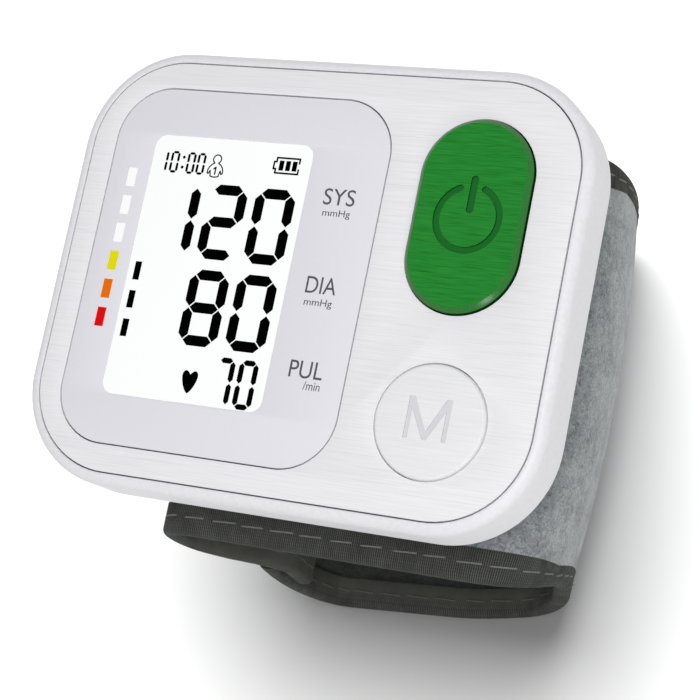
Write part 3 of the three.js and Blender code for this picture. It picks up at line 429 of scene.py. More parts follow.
def moulded(name, colour, roughness, grain_scale=1400.0, depth=0.01, shade=0.94, **settings):
    """Moulded plastic or rubber with a fine grain."""
    light = linear(colour)
    made, tree, shader = new_material(name, light, roughness, **settings)
    grain = node(tree, "ShaderNodeGroup", {"Scale": grain_scale}, node_tree=GRAIN).outputs["Grain"]
    dark = (*(channel * shade for channel in light[:3]), 1.0)
    surfaced(tree, shader, grain, (dark, light), (0.3, 0.7), (roughness * 0.85, roughness * 1.15),
             (0.4, depth))
    return made


def ink(name, colour, roughness, shade, **settings):
    """Print or film with hardly any grain."""
    return moulded(name, colour, roughness, 3000.0, 0.002, shade, **settings)


def brushed(name, dark, light, roughness, stretch, depth, **settings):
    """A brushed surface whose strokes run along X."""
    tints = (linear(dark), linear(light))
    made, tree, shader = new_material(name, tints[1], roughness, **settings)
    stroke = node(tree, "ShaderNodeGroup", {"Stretch": stretch}, node_tree=STROKES).outputs["Stroke"]
    surfaced(tree, shader, stroke, tints, (0.15, 0.62), (roughness * 1.25, roughness * 0.8),
             (0.5, depth))
    return made


def cloth(name, group, tints, roughness, strength, depth, **settings):
    """Cloth with the colour and height that a node group makes of its tints."""
    tints = {key: linear(colour) for key, colour in tints.items()}
    made, tree, shader = new_material(name, tints["Light"], roughness, **settings)
    surface = node(tree, "ShaderNodeGroup", tints, node_tree=group).outputs
    fill(shader, {"Base Color": surface["Color"],
                  "Normal": bumped(tree, surface["Height"], strength, depth)})
    return made


BRUSH_STRETCH = (110.0, 5600.0, 5600.0)
BUTTON_STRETCH = (240.0, 7600.0, 7600.0)
STRIP_STRETCH = (400.0, 2600.0, 2600.0)

white_plastic = moulded("white_case_plastic", (238, 237, 241), 0.42, specular=0.35)
plate_metal = brushed("brushed_fascia", (230, 229, 233), (242, 241, 244), 0.5,
                      BRUSH_STRETCH, 0.006, specular=0.35)
window_panel = moulded("window_print", (232, 231, 237), 0.4, 2600.0, 0.002, 0.985, specular=0.3)
# A faint emission that brightens the display field: painted glow
glowing_lcd_field = ink("display_field", (252, 254, 253), 0.4, 0.99, specular=0.2, Emission_Strength=0.1)
lcd_black = ink("display_segments", (2, 2, 3), 0.6, 0.9, specular=0.0)
label_grey = ink("label_print", (88, 86, 94), 0.5, 0.95, specular=0.2)
# White print with a faint emission that makes it render brighter: painted glow
glowing_bar_white = ink("bar_white_print_glow", (254, 254, 254), 0.4, 0.98, Emission_Strength=0.08)
bar_yellow = ink("bar_yellow_print", (238, 228, 0), 0.5, 0.97, specular=0.1)
bar_orange = ink("bar_orange_print", (242, 112, 0), 0.5, 0.97, specular=0.1)
bar_red = ink("bar_red_print", (232, 0, 4), 0.5, 0.97, specular=0.1)
green_plastic = brushed("brushed_green", (7, 103, 20), (37, 138, 49), 0.5,
                        BUTTON_STRETCH, 0.008, specular=0.12)
# Darker copies of the green for the start cap's sloped flank and upright side, chosen by facing:
# painted shade (the flank's gloss is real)
green_flank_shaded = moulded("green_flank_shaded", (0, 112, 12), 0.24, 2400.0, 0.004, 0.85)
green_shade = moulded("green_side_shade", (2, 62, 10), 0.5, 2400.0, 0.004, 0.85, specular=0.1)
# Darker green for the floor of the power sign's groove: painted shade in the recess
green_groove_shaded = moulded("green_groove_shaded", (22, 106, 36), 0.5, 2000.0, 0.01, 0.9, specular=0.1)
white_button = brushed("brushed_white_button", (231, 231, 234), (241, 241, 244), 0.5,
                       BRUSH_STRETCH, 0.005, specular=0.35)
groove_grey = moulded("letter_groove", (224, 223, 227), 0.55, specular=0.2)
# Darker grey for the upright walls of the letter groove: painted shade
groove_wall_shade = moulded("letter_groove_wall_shade", (190, 189, 196), 0.55, specular=0.2)
# Near-black for the sheets in the seam gaps: painted shadow
painted_seam_shadow = moulded("seam_shadow", (70, 68, 78), 0.6, specular=0.2)
felt_grey = cloth("cuff_felt_grey", FELT, {"Dark": (90, 96, 99), "Light": (165, 171, 173)},
                  0.95, 0.7, 0.14, Sheen_Weight=0.35)
lining_dark = cloth("cuff_lining_dark", FELT, {"Dark": (26, 28, 27), "Light": (56, 59, 56)},
                    0.95, 0.7, 0.1, Sheen_Weight=0.1)
tape_dark = cloth("edge_tape_dark", THREADS, {
    "Dark": (37, 38, 36), "Light": (94, 96, 92), "Inside Dark": (55, 56, 50),
    "Inside Light": (86, 87, 79)}, 0.85, 0.8, 0.05, specular=0.2)
thread_pale = moulded("stitch_thread", (124, 125, 118), 0.8, 2600.0, 0.03, 0.7, specular=0.2)
thread_inner = moulded("inner_stitch_thread", (98, 98, 90), 0.9, 2600.0, 0.03, 0.75, specular=0.1)
steel = brushed("plated_steel", (150, 152, 156), (196, 198, 202), 0.3, STRIP_STRETCH, 0.01,
                metallic=1.0)
contact_metal = brushed("contact_strip", (176, 156, 96), (214, 196, 132), 0.3, STRIP_STRETCH, 0.01,
                        metallic=1.0)
black_plastic = moulded("black_plastic", (34, 35, 38), 0.5)
board_green = moulded("board_lacquer", (30, 96, 52), 0.35, 1200.0, 0.02, 0.8)
jacket = moulded("cell_jacket", (58, 70, 82), 0.3)
hose_silicone = moulded("hose_silicone", (214, 218, 214), 0.45)
bladder_rubber = moulded("bladder_rubber", (66, 68, 70), 0.7)

NODE_FINISHES = (
    (window_panel, ("display_mask",)),
    (glowing_lcd_field, ("display_glass",)),
    (glowing_bar_white, ("display_backlight",)),
    (board_green, ("circuit_board",)),
    (black_plastic, ("start_switch", "memory_switch", "processor_chip", "pressure_sensor",
                     "pump_head", "air_manifold", "cuff_stiffener")),
    (steel, ("pump_motor", "release_valve", "contact_spring_outer", "contact_spring_inner",
             "case_screw_1", "case_screw_2", "case_screw_3")),
    (hose_silicone, ("pump_hose", "valve_hose", "sensor_hose")),
    (jacket, ("battery_outer", "battery_inner")),
    (contact_metal, ("contact_bridge", "contact_plate_outer", "contact_plate_inner")),
    (white_plastic, ("rear_housing", "battery_door")),
    (bladder_rubber, ("air_bladder",)),
    (lining_dark, ("hook_patch",)),
)


def finish_frame_nodes():
    for finish, names in NODE_FINISHES:
        for name in names:
            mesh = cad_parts[name].data
            mesh.materials.clear()
            mesh.materials.append(finish)


# Camera, light and floor, in metres

CAMERA_PLACE = (0.130834, -0.061755, 0.343887)
CAMERA_AIM = (0.010337, -0.009585, 0.0800)
CAMERA_UP = (-0.1084, 0.9646, 0.2402)
CAMERA_LENS = 104.8
LIGHT_AIM = (0, 0, 0.05)
WORLD_STRENGTH = 0.24
FLOOR_HALF = 3.0
FLOOR_TONE = 0.9
FLOOR_LIFT = 0.04
FLOOR_BOUNCE = 0.56


def make_camera():
    lens = bpy.data.cameras.new("view")
    lens.sensor_width = 36.0
    lens.lens = CAMERA_LENS
    lens.clip_start = 0.01
    lens.clip_end = 20.0
    camera = placed("view", lens)
    back = (Vector(CAMERA_PLACE) - Vector(CAMERA_AIM)).normalized()
    right = Vector(CAMERA_UP).cross(back).normalized()
    turned = Matrix((right, back.cross(right), back)).transposed().to_4x4()
    camera.matrix_world = Matrix.Translation(CAMERA_PLACE) @ turned
    bpy.context.scene.camera = camera


def lamp(name, kind, place, aim, energy, floor, state, **settings):
    """A lamp turned from its place to its aim, for the floor alone or for all but the floor."""
    data = bpy.data.lights.new(name, kind)
    data.energy = energy
    for key, value in settings.items():
        setattr(data, key, value)
    made = placed(name, data)
    made.location = place
    made.rotation_mode = "QUATERNION"
    made.rotation_quaternion = (Vector(aim) - Vector(place)).to_track_quat("-Z", "Y")
    reach = bpy.data.collections.new(name + "_reach")
    reach.objects.link(floor)
    reach.collection_objects[0].light_linking.link_state = state
    made.light_linking.receiver_collection = reach


def seen_rays(tree):
    """1 for what the camera sees, straight or in metal and glass, and 0 for light on the object."""
    rays = tree.nodes.new("ShaderNodeLightPath").outputs
    mirrored = maths(tree, "MAXIMUM", rays["Is Glossy Ray"], rays["Is Transmission Ray"])
    return maths(tree, "MAXIMUM", rays["Is Camera Ray"], mirrored)


def make_studio():
    scene = bpy.context.scene
    scene.view_settings.view_transform = "Standard"
    world = bpy.data.worlds.new("studio")
    scene.world = world
    world.use_nodes = True
    tree = world.node_tree
    strength = ranged(tree, seen_rays(tree), 0.0, 1.0, WORLD_STRENGTH, 1.0)
    fill(tree.nodes["Background"], {"Color": WHITE, "Strength": strength})

    mesh = bpy.data.meshes.new("floor")
    corners = ((-1, -1), (1, -1), (1, 1), (-1, 1))
    mesh.from_pydata([(x * FLOOR_HALF, y * FLOOR_HALF, 0) for x, y in corners], [], [(0, 1, 2, 3)])
    floor = placed("floor", mesh)
    made, tree, shader = new_material("floor_paper", (FLOOR_TONE, FLOOR_TONE, FLOOR_TONE, 1.0), 0.9)
    seen = seen_rays(tree)
    fill(shader, {
        "Base Color": ranged(tree, seen, 0.0, 1.0, FLOOR_BOUNCE, FLOOR_TONE),
        "Emission Color": WHITE,
        "Emission Strength": maths(tree, "MULTIPLY", seen, FLOOR_LIFT)})
    mesh.materials.append(made)

    lamp("key", "AREA", (0.24, -0.08, 0.97), LIGHT_AIM, 5.75, floor, "EXCLUDE",
         shape="DISK", size=0.42)
    lamp("fill", "AREA", (0.5, -0.75, 0.46), LIGHT_AIM, 1.3, floor, "EXCLUDE",
         shape="DISK", size=0.3)
    lamp("paper", "SUN", (0.06, 0.34, 0.94), (0, 0, 0), 4.0, floor, "INCLUDE",
         angle=math.radians(36.0))


# Case

def make_front_shell():
    """Side wall, rounded bezel, the lip round the fascia and the hollow behind."""
    deck_z = FACE_Z - PLATE_THICKNESS - DECK_DROP
    under_z = deck_z - DECK_THICKNESS
    recess = grown(PLATE, SEAM)
    hole = (recess[0] - DECK_MARGIN, recess[1] - DECK_MARGIN, recess[2] - DECK_CORNER_LESS)
    hollow = grown(CASE, -CASE_WALL)
    levels = [
        (PARTING_Z, *grown(CASE, -PARTING_CHAMFER)),
        (PARTING_Z + PARTING_CHAMFER, *CASE),
        *rounded_edge(FACE_Z, *CASE, BEZEL_ROUND, 8),
        (FACE_Z, *grown(recess, LIP)),
        (FACE_Z - LIP, *recess),
        (deck_z, *recess),
        (deck_z, *hole),
        (under_z, *hole),
        (under_z, *hollow),
        (PARTING_Z, *hollow),
    ]
    levels.append(levels[0])
    points, faces = stacked(levels, caps=False)
    shell = mesh_piece("front_shell", points, faces, white_plastic)
    weld(shell)
    finish_piece(shell, white_plastic, 40)
    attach(shell, MONITOR)
    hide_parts("front_housing")


def make_seam_shadow():
    """Painted shadow: dark sheets at the floors of the narrow gaps round fascia and window, seen as
    thin lines.
    """
    for name, shape, x in (("fascia_seam", PLATE, 0.0), ("window_seam", WINDOW, WINDOW_X)):
        width, height, corner = grown(shape, SEAM)
        outer = ring(width + SEAM_OVERLAP, height + SEAM_OVERLAP, corner, x)
        inner = ring(*grown(shape, -SEAM), x)
        seam = flat_sheet(name, [outer, inner], FACE_Z - SEAM_DEPTH, SEAM_THICKNESS, SEAM_EDGE,
                          painted_seam_shadow)


def make_fascia():
    outlines = [
        ring(*PLATE),
        ring(*grown(WINDOW, SEAM), WINDOW_X),
        ring(*grown(START, SEAM), BUTTON_X, START_Y, BUTTON_STEPS),
        ring(*grown(MEMORY, SEAM / 2), BUTTON_X, MEMORY_Y, BUTTON_STEPS),
    ]
    plate = flat_sheet("brushed_plate", outlines, FACE_Z, PLATE_THICKNESS, SHEET_EDGE, plate_metal)
    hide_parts("fascia_plate")


# Display

LCD_LEFT = -29.0
LCD_RIGHT = -1.9
LCD_BOTTOM = -20.6
LCD_TOP = 20.7
LCD = (LCD_RIGHT - LCD_LEFT, LCD_TOP - LCD_BOTTOM, 1.9)
LCD_CENTRE = ((LCD_LEFT + LCD_RIGHT) / 2, (LCD_BOTTOM + LCD_TOP) / 2)
FIELD_Z = FACE_Z - 0.04
PRINT = 0.02


def make_window():
    """The panel with its printed surround, and the pale display field let into it, brightened by a
    painted glow.
    """
    outlines = [ring(*WINDOW, WINDOW_X), ring(*LCD, *LCD_CENTRE)]
    panel = flat_sheet("window_panel", outlines, FACE_Z, PLATE_THICKNESS, SHEET_EDGE, window_panel)
    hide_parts("display_window")
    levels = [(FACE_Z - PLATE_THICKNESS, *LCD), (FIELD_Z, *LCD)]
    points, faces = stacked(levels, *LCD_CENTRE)
    field = mesh_piece("display_field", points, faces, glowing_lcd_field)
    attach(field, MONITOR)


def directions(start, end):
    """Unit vectors along a line and to its left."""
    along = (end - start) / np.linalg.norm(end - start)
    return along, np.array((-along[1], along[0]))


def segment(start, end, width, gap):
    """One display segment: a bar with pointed ends that stops a gap short of both places."""
    along, across = directions(start, end)
    start = start + along * gap
    end = end - along * gap
    tip = along * width / 2
    side = across * width / 2
    return [tuple(p) for p in (
        start, start + tip - side, end - tip - side, end, end - tip + side, start + tip + side)]


# Segments by their usual letters, from one share of the digit's box to another
SEGMENTS = {
    "a": ((0, 1), (1, 1)),
    "b": ((1, 1), (1, 0.5)),
    "c": ((1, 0.5), (1, 0)),
    "d": ((0, 0), (1, 0)),
    "e": ((0, 0.5), (0, 0)),
    "f": ((0, 1), (0, 0.5)),
    "g": ((0, 0.5), (1, 0.5)),
}
LIT = {"0": "abcdef", "1": "bc", "2": "abged", "7": "abc", "8": "abcdefg"}


def digit(value, x0, x1, y0, y1, width, gap):
    """The lit segments of a digit that fills a box."""
    low = np.array((x0, y0)) + width / 2
    span = np.array((x1, y1)) - width / 2 - low
    return [segment(low + span * start, low + span * end, width, gap)
            for start, end in (SEGMENTS[letter] for letter in LIT[value])]


def box_polygon(x0, x1, y0, y1):
    return [(x0, y0), (x1, y0), (x1, y1), (x0, y1)]


def mirrored(half):
    """A whole outline from its right half, which runs from the bottom to the top."""
    return half + [(-x, y) for x, y in half[::-1] if x > 0]


def heart(cx, cy, width, height):
    """A full heart with a shallow notch."""
    half = [(0.0, 0.0), (0.2, 0.05), (0.45, 0.17), (0.7, 0.34), (0.9, 0.55), (1.0, 0.74),
            (0.97, 0.87), (0.82, 0.96), (0.6, 1.0), (0.36, 0.97), (0.16, 0.9), (0.0, 0.83)]
    return [(cx + x * width / 2, cy + (y - 0.5) * height) for x, y in mirrored(half)]


def band(points, width):
    """Polygons that draw a line of a width through points."""
    polygons = []
    for a, b in zip(np.array(points, float), np.array(points[1:], float)):
        along, across = directions(a, b)
        reach = along * width * 0.35
        side = across * width / 2
        polygons.append([tuple(p) for p in (
            a - reach - side, b + reach - side, b + reach + side, a - reach + side)])
    return polygons


def person_icon(cx, low):
    """A user mark: a round head on shoulders in outline, with a 1 inside."""
    head = arc((cx, low + 2.85), 0.68, -62, 238, 21)
    half = [(0.34, 2.2), (0.75, 1.95), (1.1, 1.55), (1.28, 1.1), (1.3, 0.6), (1.1, 0.48),
            (0.86, 1.0), (0.74, 0.45), (0.7, 0.12), (0.3, 0.0), (0.0, -0.02)]
    right, left = ([(cx + side * x, low + y) for x, y in half] for side in (1, -1))
    one = [(cx - 0.28, low + 1.3), (cx + 0.03, low + 1.55), (cx + 0.03, low + 0.45)]
    return band(head, 0.2) + band(right, 0.2) + band(left, 0.2) + band(one, 0.24)


def battery_icon(left, right, low, high):
    """A battery in outline with three charge bars."""
    nub = 0.38
    third = (high - low) * 0.27
    shell = [(right, low + third * 1.1), (right, low), (left + nub, low), (left + nub, low + third),
             (left, low + third), (left, high - third), (left + nub, high - third),
             (left + nub, high), (right, high), (right, high - third * 1.1)]
    pieces = band(shell, 0.28)
    pitch = (right - left - nub) / 3.45
    for k in range(3):
        x = left + nub + 0.5 + k * pitch
        pieces.append(box_polygon(x, x + pitch * 0.7, low + 0.42, high - 0.42))
    return pieces


# Rows of digits: each digit's left and right, then the row's bottom, top, stroke and gap
DIGIT_ROWS = (
    ((("1", -20.95, -19.3), ("2", -18.05, -11.35), ("0", -10.0, -3.3)), 1.7, 13.5, 1.62, 0.13),
    ((("8", -18.05, -11.35), ("0", -10.0, -3.3)), -11.8, 0.0, 1.62, 0.13),
    ((("7", -10.5, -7.4), ("0", -6.75, -3.55)), -20.45, -12.95, 0.85, 0.1),
    ((("1", -26.75, -26.3), ("0", -25.85, -24.35), ("0", -22.95, -21.5), ("0", -21.2, -19.75)),
     14.75, 18.25, 0.4, 0.05),
)
COLON_X = -23.6
COLON_DOTS = (15.75, 17.35)
COLON_RADIUS = 0.25
DOT_SIDES = 14
MARKS_ACROSS = (-27.95, -26.85)
MARKS = ((-2.65, 0.25), (-7.1, -4.35), (-11.6, -8.85))


def make_readings():
    """Lit segments, icons and level marks on the display field."""
    lit = []
    for digits, low, high, width, gap in DIGIT_ROWS:
        for value, left, right in digits:
            lit += digit(value, left, right, low, high, width, gap)
    lit += [arc((COLON_X, y), COLON_RADIUS, 0, 360 - 360 / DOT_SIDES, DOT_SIDES) for y in COLON_DOTS]
    lit += person_icon(-17.8, 14.6)
    lit += battery_icon(-8.1, -3.9, 16.05, 18.45)
    lit.append(heart(-14.5, -17.3, 2.65, 3.5))
    lit += [box_polygon(*MARKS_ACROSS, *mark) for mark in MARKS]
    readings = polygons_piece("display_readings", lit, FIELD_Z, PRINT, lcd_black)
    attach(readings, MONITOR)


LEVEL_LEFT = -32.75
LEVEL_RIGHT = -31.25
LEVEL_HEIGHT = 3.0
LEVEL_PITCH = 4.5
LEVEL_TOP = 15.0


def make_level_bars():
    for k, finish in enumerate((glowing_bar_white, glowing_bar_white, glowing_bar_white, bar_yellow, bar_orange, bar_red)):
        top = LEVEL_TOP - k * LEVEL_PITCH
        outline = box_polygon(LEVEL_LEFT, LEVEL_RIGHT, top - LEVEL_HEIGHT, top)
        bar = polygons_piece(f"level_bar_{k + 1}", [outline], FACE_Z, PRINT, finish)
        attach(bar, MONITOR)


def lettering(name, words, left, right, bottom, top):
    """Flat text that fills a box from left to right and from bottom to top."""
    curve = bpy.data.curves.new(name, "FONT")
    curve.body = words
    curve.size = 1.0
    curve.resolution_u = 6
    piece = baked(placed(name + "_text", curve), name)
    points = np.array([v.co for v in piece.data.vertices])
    low, high = points.min(0), points.max(0)
    scale_x = (right - left) * MM / (high[0] - low[0])
    scale_y = (top - bottom) * MM / (high[1] - low[1])
    piece.data.transform(Matrix.Translation((left * MM, bottom * MM, FACE_Z * MM))
                         @ Matrix.Diagonal((scale_x, scale_y, 1, 1))
                         @ Matrix.Translation((-low[0], -low[1], 0)))
    shape = bmesh.new()
    shape.from_mesh(piece.data)
    bmesh.ops.remove_doubles(shape, verts=shape.verts, dist=TEXT_WELD * MM)
    made = bmesh.ops.extrude_face_region(shape, geom=shape.faces[:])
    raised = [v for v in made["geom"] if isinstance(v, bmesh.types.BMVert)]
    bmesh.ops.translate(shape, verts=raised, vec=(0, 0, PRINT * MM))
    bmesh.ops.recalc_face_normals(shape, faces=shape.faces)
    shape.to_mesh(piece.data)
    shape.free()
    piece.data.materials.clear()
    finish_piece(piece, label_grey)
    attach(piece, MONITOR)


LABELS = (
    ("label_upper", "SYS", 1.2, 6.3, 11.8, 14.35),
    ("label_upper_unit", "mmHg", 1.5, 6.0, 9.75, 11.1),
    ("label_middle", "DIA", 1.3, 6.2, -1.8, 0.75),
    ("label_middle_unit", "mmHg", 1.5, 6.0, -4.0, -2.6),
    ("label_lower", "PUL", 1.4, 6.8, -14.6, -12.0),
    ("label_lower_unit", "/min", 4.1, 6.8, -16.25, -14.95),
)


# Buttons

CAP_SHARP_ANGLE = 30
# Heights and insets of the start cap's side, and of its softened crown below the top
START_SIDE = ((FACE_Z + 0.45, 0.0), (FACE_Z + 0.5, 0.03), (START_TOP - 0.06, 0.66), (START_TOP, 0.74))
# How far up a face points where the start cap's colour turns to the painted shade of its flank, its
# side and its groove walls
CROWN_FACING = 0.95
FLANK_FACING = 0.3
WALL_FACING = 0.5
POWER_CENTRE = (BUTTON_X + 0.15, START_Y - 0.6)
POWER_RADIUS = 4.8
POWER_STROKE = 1.0
POWER_GAP = 46
POWER_BAR = (1.1, 0.75, 6.4)
POWER_DEPTH = 0.3
CUTTER_OVERRUN = 1.0
MEMORY_NECK = 0.2
MEMORY_DRAFT = 0.1
MEMORY_ROUND = 0.45
LETTER_STROKE = 0.68
LETTER_DEPTH = 0.16
LETTER_CUTTER = 1.2


def plain_cap(name, levels, shape, low_z, y, finish):
    """A cap's solid before its sign is cut: flange, neck and the levels above."""
    flange = grown(shape, FLANGE)
    flange_top = low_z + FLANGE_THICKNESS
    base = [(low_z, *flange), (flange_top, *flange), (flange_top, *shape)]
    points, faces = stacked(base + levels, BUTTON_X, y, steps=BUTTON_STEPS)
    cap = mesh_piece(name, points, faces, finish)
    weld(cap, FINE_WELD)
    return cap


def cut_into(piece, cutter, name, wall):
    """Takes a cutter away from a piece and keeps the cutter's own material in the groove, with a
    darker one on its upright walls as painted shade."""
    groove = cutter.data.materials[0].name
    cut = piece.modifiers.new("groove", "BOOLEAN")
    cut.operation = "DIFFERENCE"
    cut.solver = "EXACT"
    cut.material_mode = "TRANSFER"
    cut.object = cutter
    result = baked(piece, name)
    bpy.data.objects.remove(cutter)
    materials = result.data.materials
    materials.append(wall)
    for face in result.data.polygons:
        if face.material_index == materials.find(groove) and abs(face.normal[2]) < WALL_FACING:
            face.material_index = len(materials) - 1
    return result


def power_symbol():
    """A broken ring with round ends, and an upright bar."""
    half = POWER_STROKE / 2
    start = 90 + POWER_GAP / 2
    end = 450 - POWER_GAP / 2

    def round_end(angle, turned):
        centre = arc(POWER_CENTRE, POWER_RADIUS, angle, angle, 1)[0]
        return arc(centre, half, turned + 22.5, turned + 157.5, 7)

    outer = arc(POWER_CENTRE, POWER_RADIUS + half, start, end, 65)
    inner = arc(POWER_CENTRE, POWER_RADIUS - half, end, start, 65)
    width, bottom, top = POWER_BAR
    middle = POWER_CENTRE[1] + (bottom + top) / 2
    bar = ring(width, top - bottom, width / 2, POWER_CENTRE[0] + 0.1, middle, 6)
    return [outer + round_end(end, end) + inner + round_end(start, start + 180), bar]


def make_start_button():
    levels = [(z, *grown(START, -inset)) for z, inset in START_SIDE]
    cap = plain_cap("start_cap_plain", levels, START, start_low[2], START_Y, green_plastic)
    cap.data.materials.append(green_flank_shaded)
    cap.data.materials.append(green_shade)
    # Sloped faces take the darker flank green and upright faces the near-black side green: painted
    # shade
    for face in cap.data.polygons:
        if face.normal[2] < CROWN_FACING:
            face.material_index = 1 if face.normal[2] > FLANK_FACING else 2
    cutter = polygons_piece("power_cutter", power_symbol(), START_TOP - POWER_DEPTH,
                            POWER_DEPTH + CUTTER_OVERRUN, green_groove_shaded)
    cap = cut_into(cap, cutter, "start_cap", green_shade)
    finish_piece(cap, green_plastic, CAP_SHARP_ANGLE)
    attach(cap, "start_key")
    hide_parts("start_button")


def letter_m(left, right, bottom, top, stroke):
    """The outline of a capital M with thin even strokes."""
    middle = (left + right) / 2
    side = (right - left) / 2
    half = [(stroke * 0.42, bottom), (side - stroke, top - 2.6 * stroke), (side - stroke, bottom),
            (side, bottom), (side, top), (side - stroke * 1.25, top), (0.0, bottom + 1.75 * stroke)]
    return [(middle + x, y) for x, y in mirrored(half)]


def make_memory_button():
    levels = [(FACE_Z - MEMORY_NECK, *MEMORY)]
    levels += rounded_edge(MEMORY_TOP, *grown(MEMORY, -MEMORY_DRAFT), MEMORY_ROUND, 5)
    cap = plain_cap("memory_cap_plain", levels, MEMORY, memory_low[2], MEMORY_Y, white_button)
    outline = letter_m(BUTTON_X - 3.5, BUTTON_X + 3.05, MEMORY_Y - 2.75, MEMORY_Y + 3.35,
                       LETTER_STROKE)
    cutter = polygons_piece("letter_cutter", [outline], MEMORY_TOP - LETTER_DEPTH, LETTER_CUTTER,
                            groove_grey)
    cap = cut_into(cap, cutter, "memory_cap", groove_wall_shade)
    finish_piece(cap, white_button, CAP_SHARP_ANGLE)
    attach(cap, "memory_key")
    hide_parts("memory_button")


# Cuff

CUFF_REACH = 36.0
CUFF_HALF_WIDTH = 34.6
CUFF_OFFSET = -3.0
CUFF_SKEW = 4.2
CUFF_SPAN = 1.66 * CUFF_REACH
NEAR_RISE = 4.4
FAR_RISE = 1.2
RISE_FROM = 0.11 * CUFF_REACH
RISE_TURN = 0.75 * math.pi
CUFF_SWELL = 2.5
SWELL_ACROSS = (0.55 * CUFF_REACH, 0.95 * CUFF_REACH)
SWELL_UP = (0.12 * CUFF_HEIGHT, 0.45 * CUFF_HEIGHT)
TAPE_WIDTH = 5.3
TAPE_SIDE_WIDTH = 3.6
NARROW_ACROSS = (0.6 * CUFF_REACH, 0.98 * CUFF_REACH)
NARROW_DOWN = (0.55 * CUFF_HEIGHT, 1.05 * CUFF_HEIGHT)
NARROW_GAIN = 1.6
TAPE_THICKNESS = 0.5
TAPE_PROUD = 0.1
TAPE_INNER = 2.3
TAPE_ROUND = 1.0
FELT_THICKNESS = 1.0
FELT_EDGE = 0.3
FELT_HALF_WIDTH = CUFF_HALF_WIDTH - TAPE_SIDE_WIDTH + 0.8
FELT_ACROSS = 12
THIN_LINING = 1.25
WALL_LINING = 4.25
LINING_THICKNESS = 0.8
LINING_HALF_WIDTH = CUFF_HALF_WIDTH - TAPE_THICKNESS - 0.2
LINING_ACROSS = 36
LINING_RISE = 12
LINING_FALL = (-6, 3)
LINING_CROWN = 1.1
CROWN_RISE = 8
CROWN_FALL = (-26, -12)
STRAP_INNER = 2.8
HOOK_GAP = 1.4
PAD_HALF_WIDTH = 26.4
PAD_SLOPE = (-2.4, 2.6)
PATH_STEP = 0.09
SKIN_STRIDE = 6
FLAP_OVERLAP = 0.14
TAIL_CUT = 2.4
SPLIT_BACK = 11.0


def at(reach_share, height_share):
    return np.array((reach_share * CUFF_REACH, height_share * CUFF_HEIGHT))


RIGHT_TURN = at(0.955, 0.78)
RIGHT_FOOT = at(0.8, 0.26)
FOOT_RIGHT = at(0.48, 0)
FOOT_LEFT = at(-0.4, 0)
LEFT_TURN = at(-0.615, 0.19)
STRAP_TIP = at(-0.555, 0.595)
TOP_LEFT = at(-0.62, 1)
TOP_RIGHT = at(0.66, 1)
LOBE_LEFT = at(-0.84, 0.84)
WALL_RUNS = [
    [TOP_LEFT, TOP_RIGHT],
    [TOP_RIGHT, at(0.84, 1), at(0.955, 0.95), RIGHT_TURN],
    [RIGHT_TURN, at(0.955, 0.62), at(0.895, 0.45), RIGHT_FOOT],
]
LOWER_TURN = [RIGHT_FOOT, at(0.745, 0.11), at(0.655, 0), FOOT_RIGHT]
STRAP_RUNS = [
    [FOOT_RIGHT, FOOT_LEFT],
    [FOOT_LEFT, at(-0.51, 0), at(-0.585, 0.055), LEFT_TURN],
    [LEFT_TURN, at(-0.64, 0.32), at(-0.6, 0.47), STRAP_TIP],
]


def sample_run(run, count=240):
    """Points along a straight run of two places or a curved one of four."""
    t = np.linspace(0, 1, count)[:, None]
    if len(run) == 2:
        return run[0] * (1 - t) + run[1] * t
    a, b, c, d = run
    return a * (1 - t) ** 3 + 3 * b * t * (1 - t) ** 2 + 3 * c * t ** 2 * (1 - t) + d * t ** 3


def joined(runs):
    points = [sample_run(run) for run in runs]
    return np.concatenate([points[0]] + [p[1:] for p in points[1:]])


def lengths_along(points):
    return np.concatenate([[0], np.cumsum(np.linalg.norm(np.diff(points, axis=0), axis=1))])


def respaced(points):
    """The same line with points at even steps."""
    lengths = lengths_along(points)
    count = int(round(lengths[-1] / PATH_STEP)) + 1
    wanted = np.linspace(0, lengths[-1], count)
    return np.stack([np.interp(wanted, lengths, points[:, k]) for k in range(2)], 1)


def normals_of(points):
    along = np.gradient(points, axis=0)
    along /= np.linalg.norm(along, axis=1)[:, None]
    return np.stack([-along[:, 1], along[:, 0]], 1)


def smooth_step(value, low, high):
    t = np.clip((value - low) / (high - low), 0, 1)
    return t * t * (3 - 2 * t)


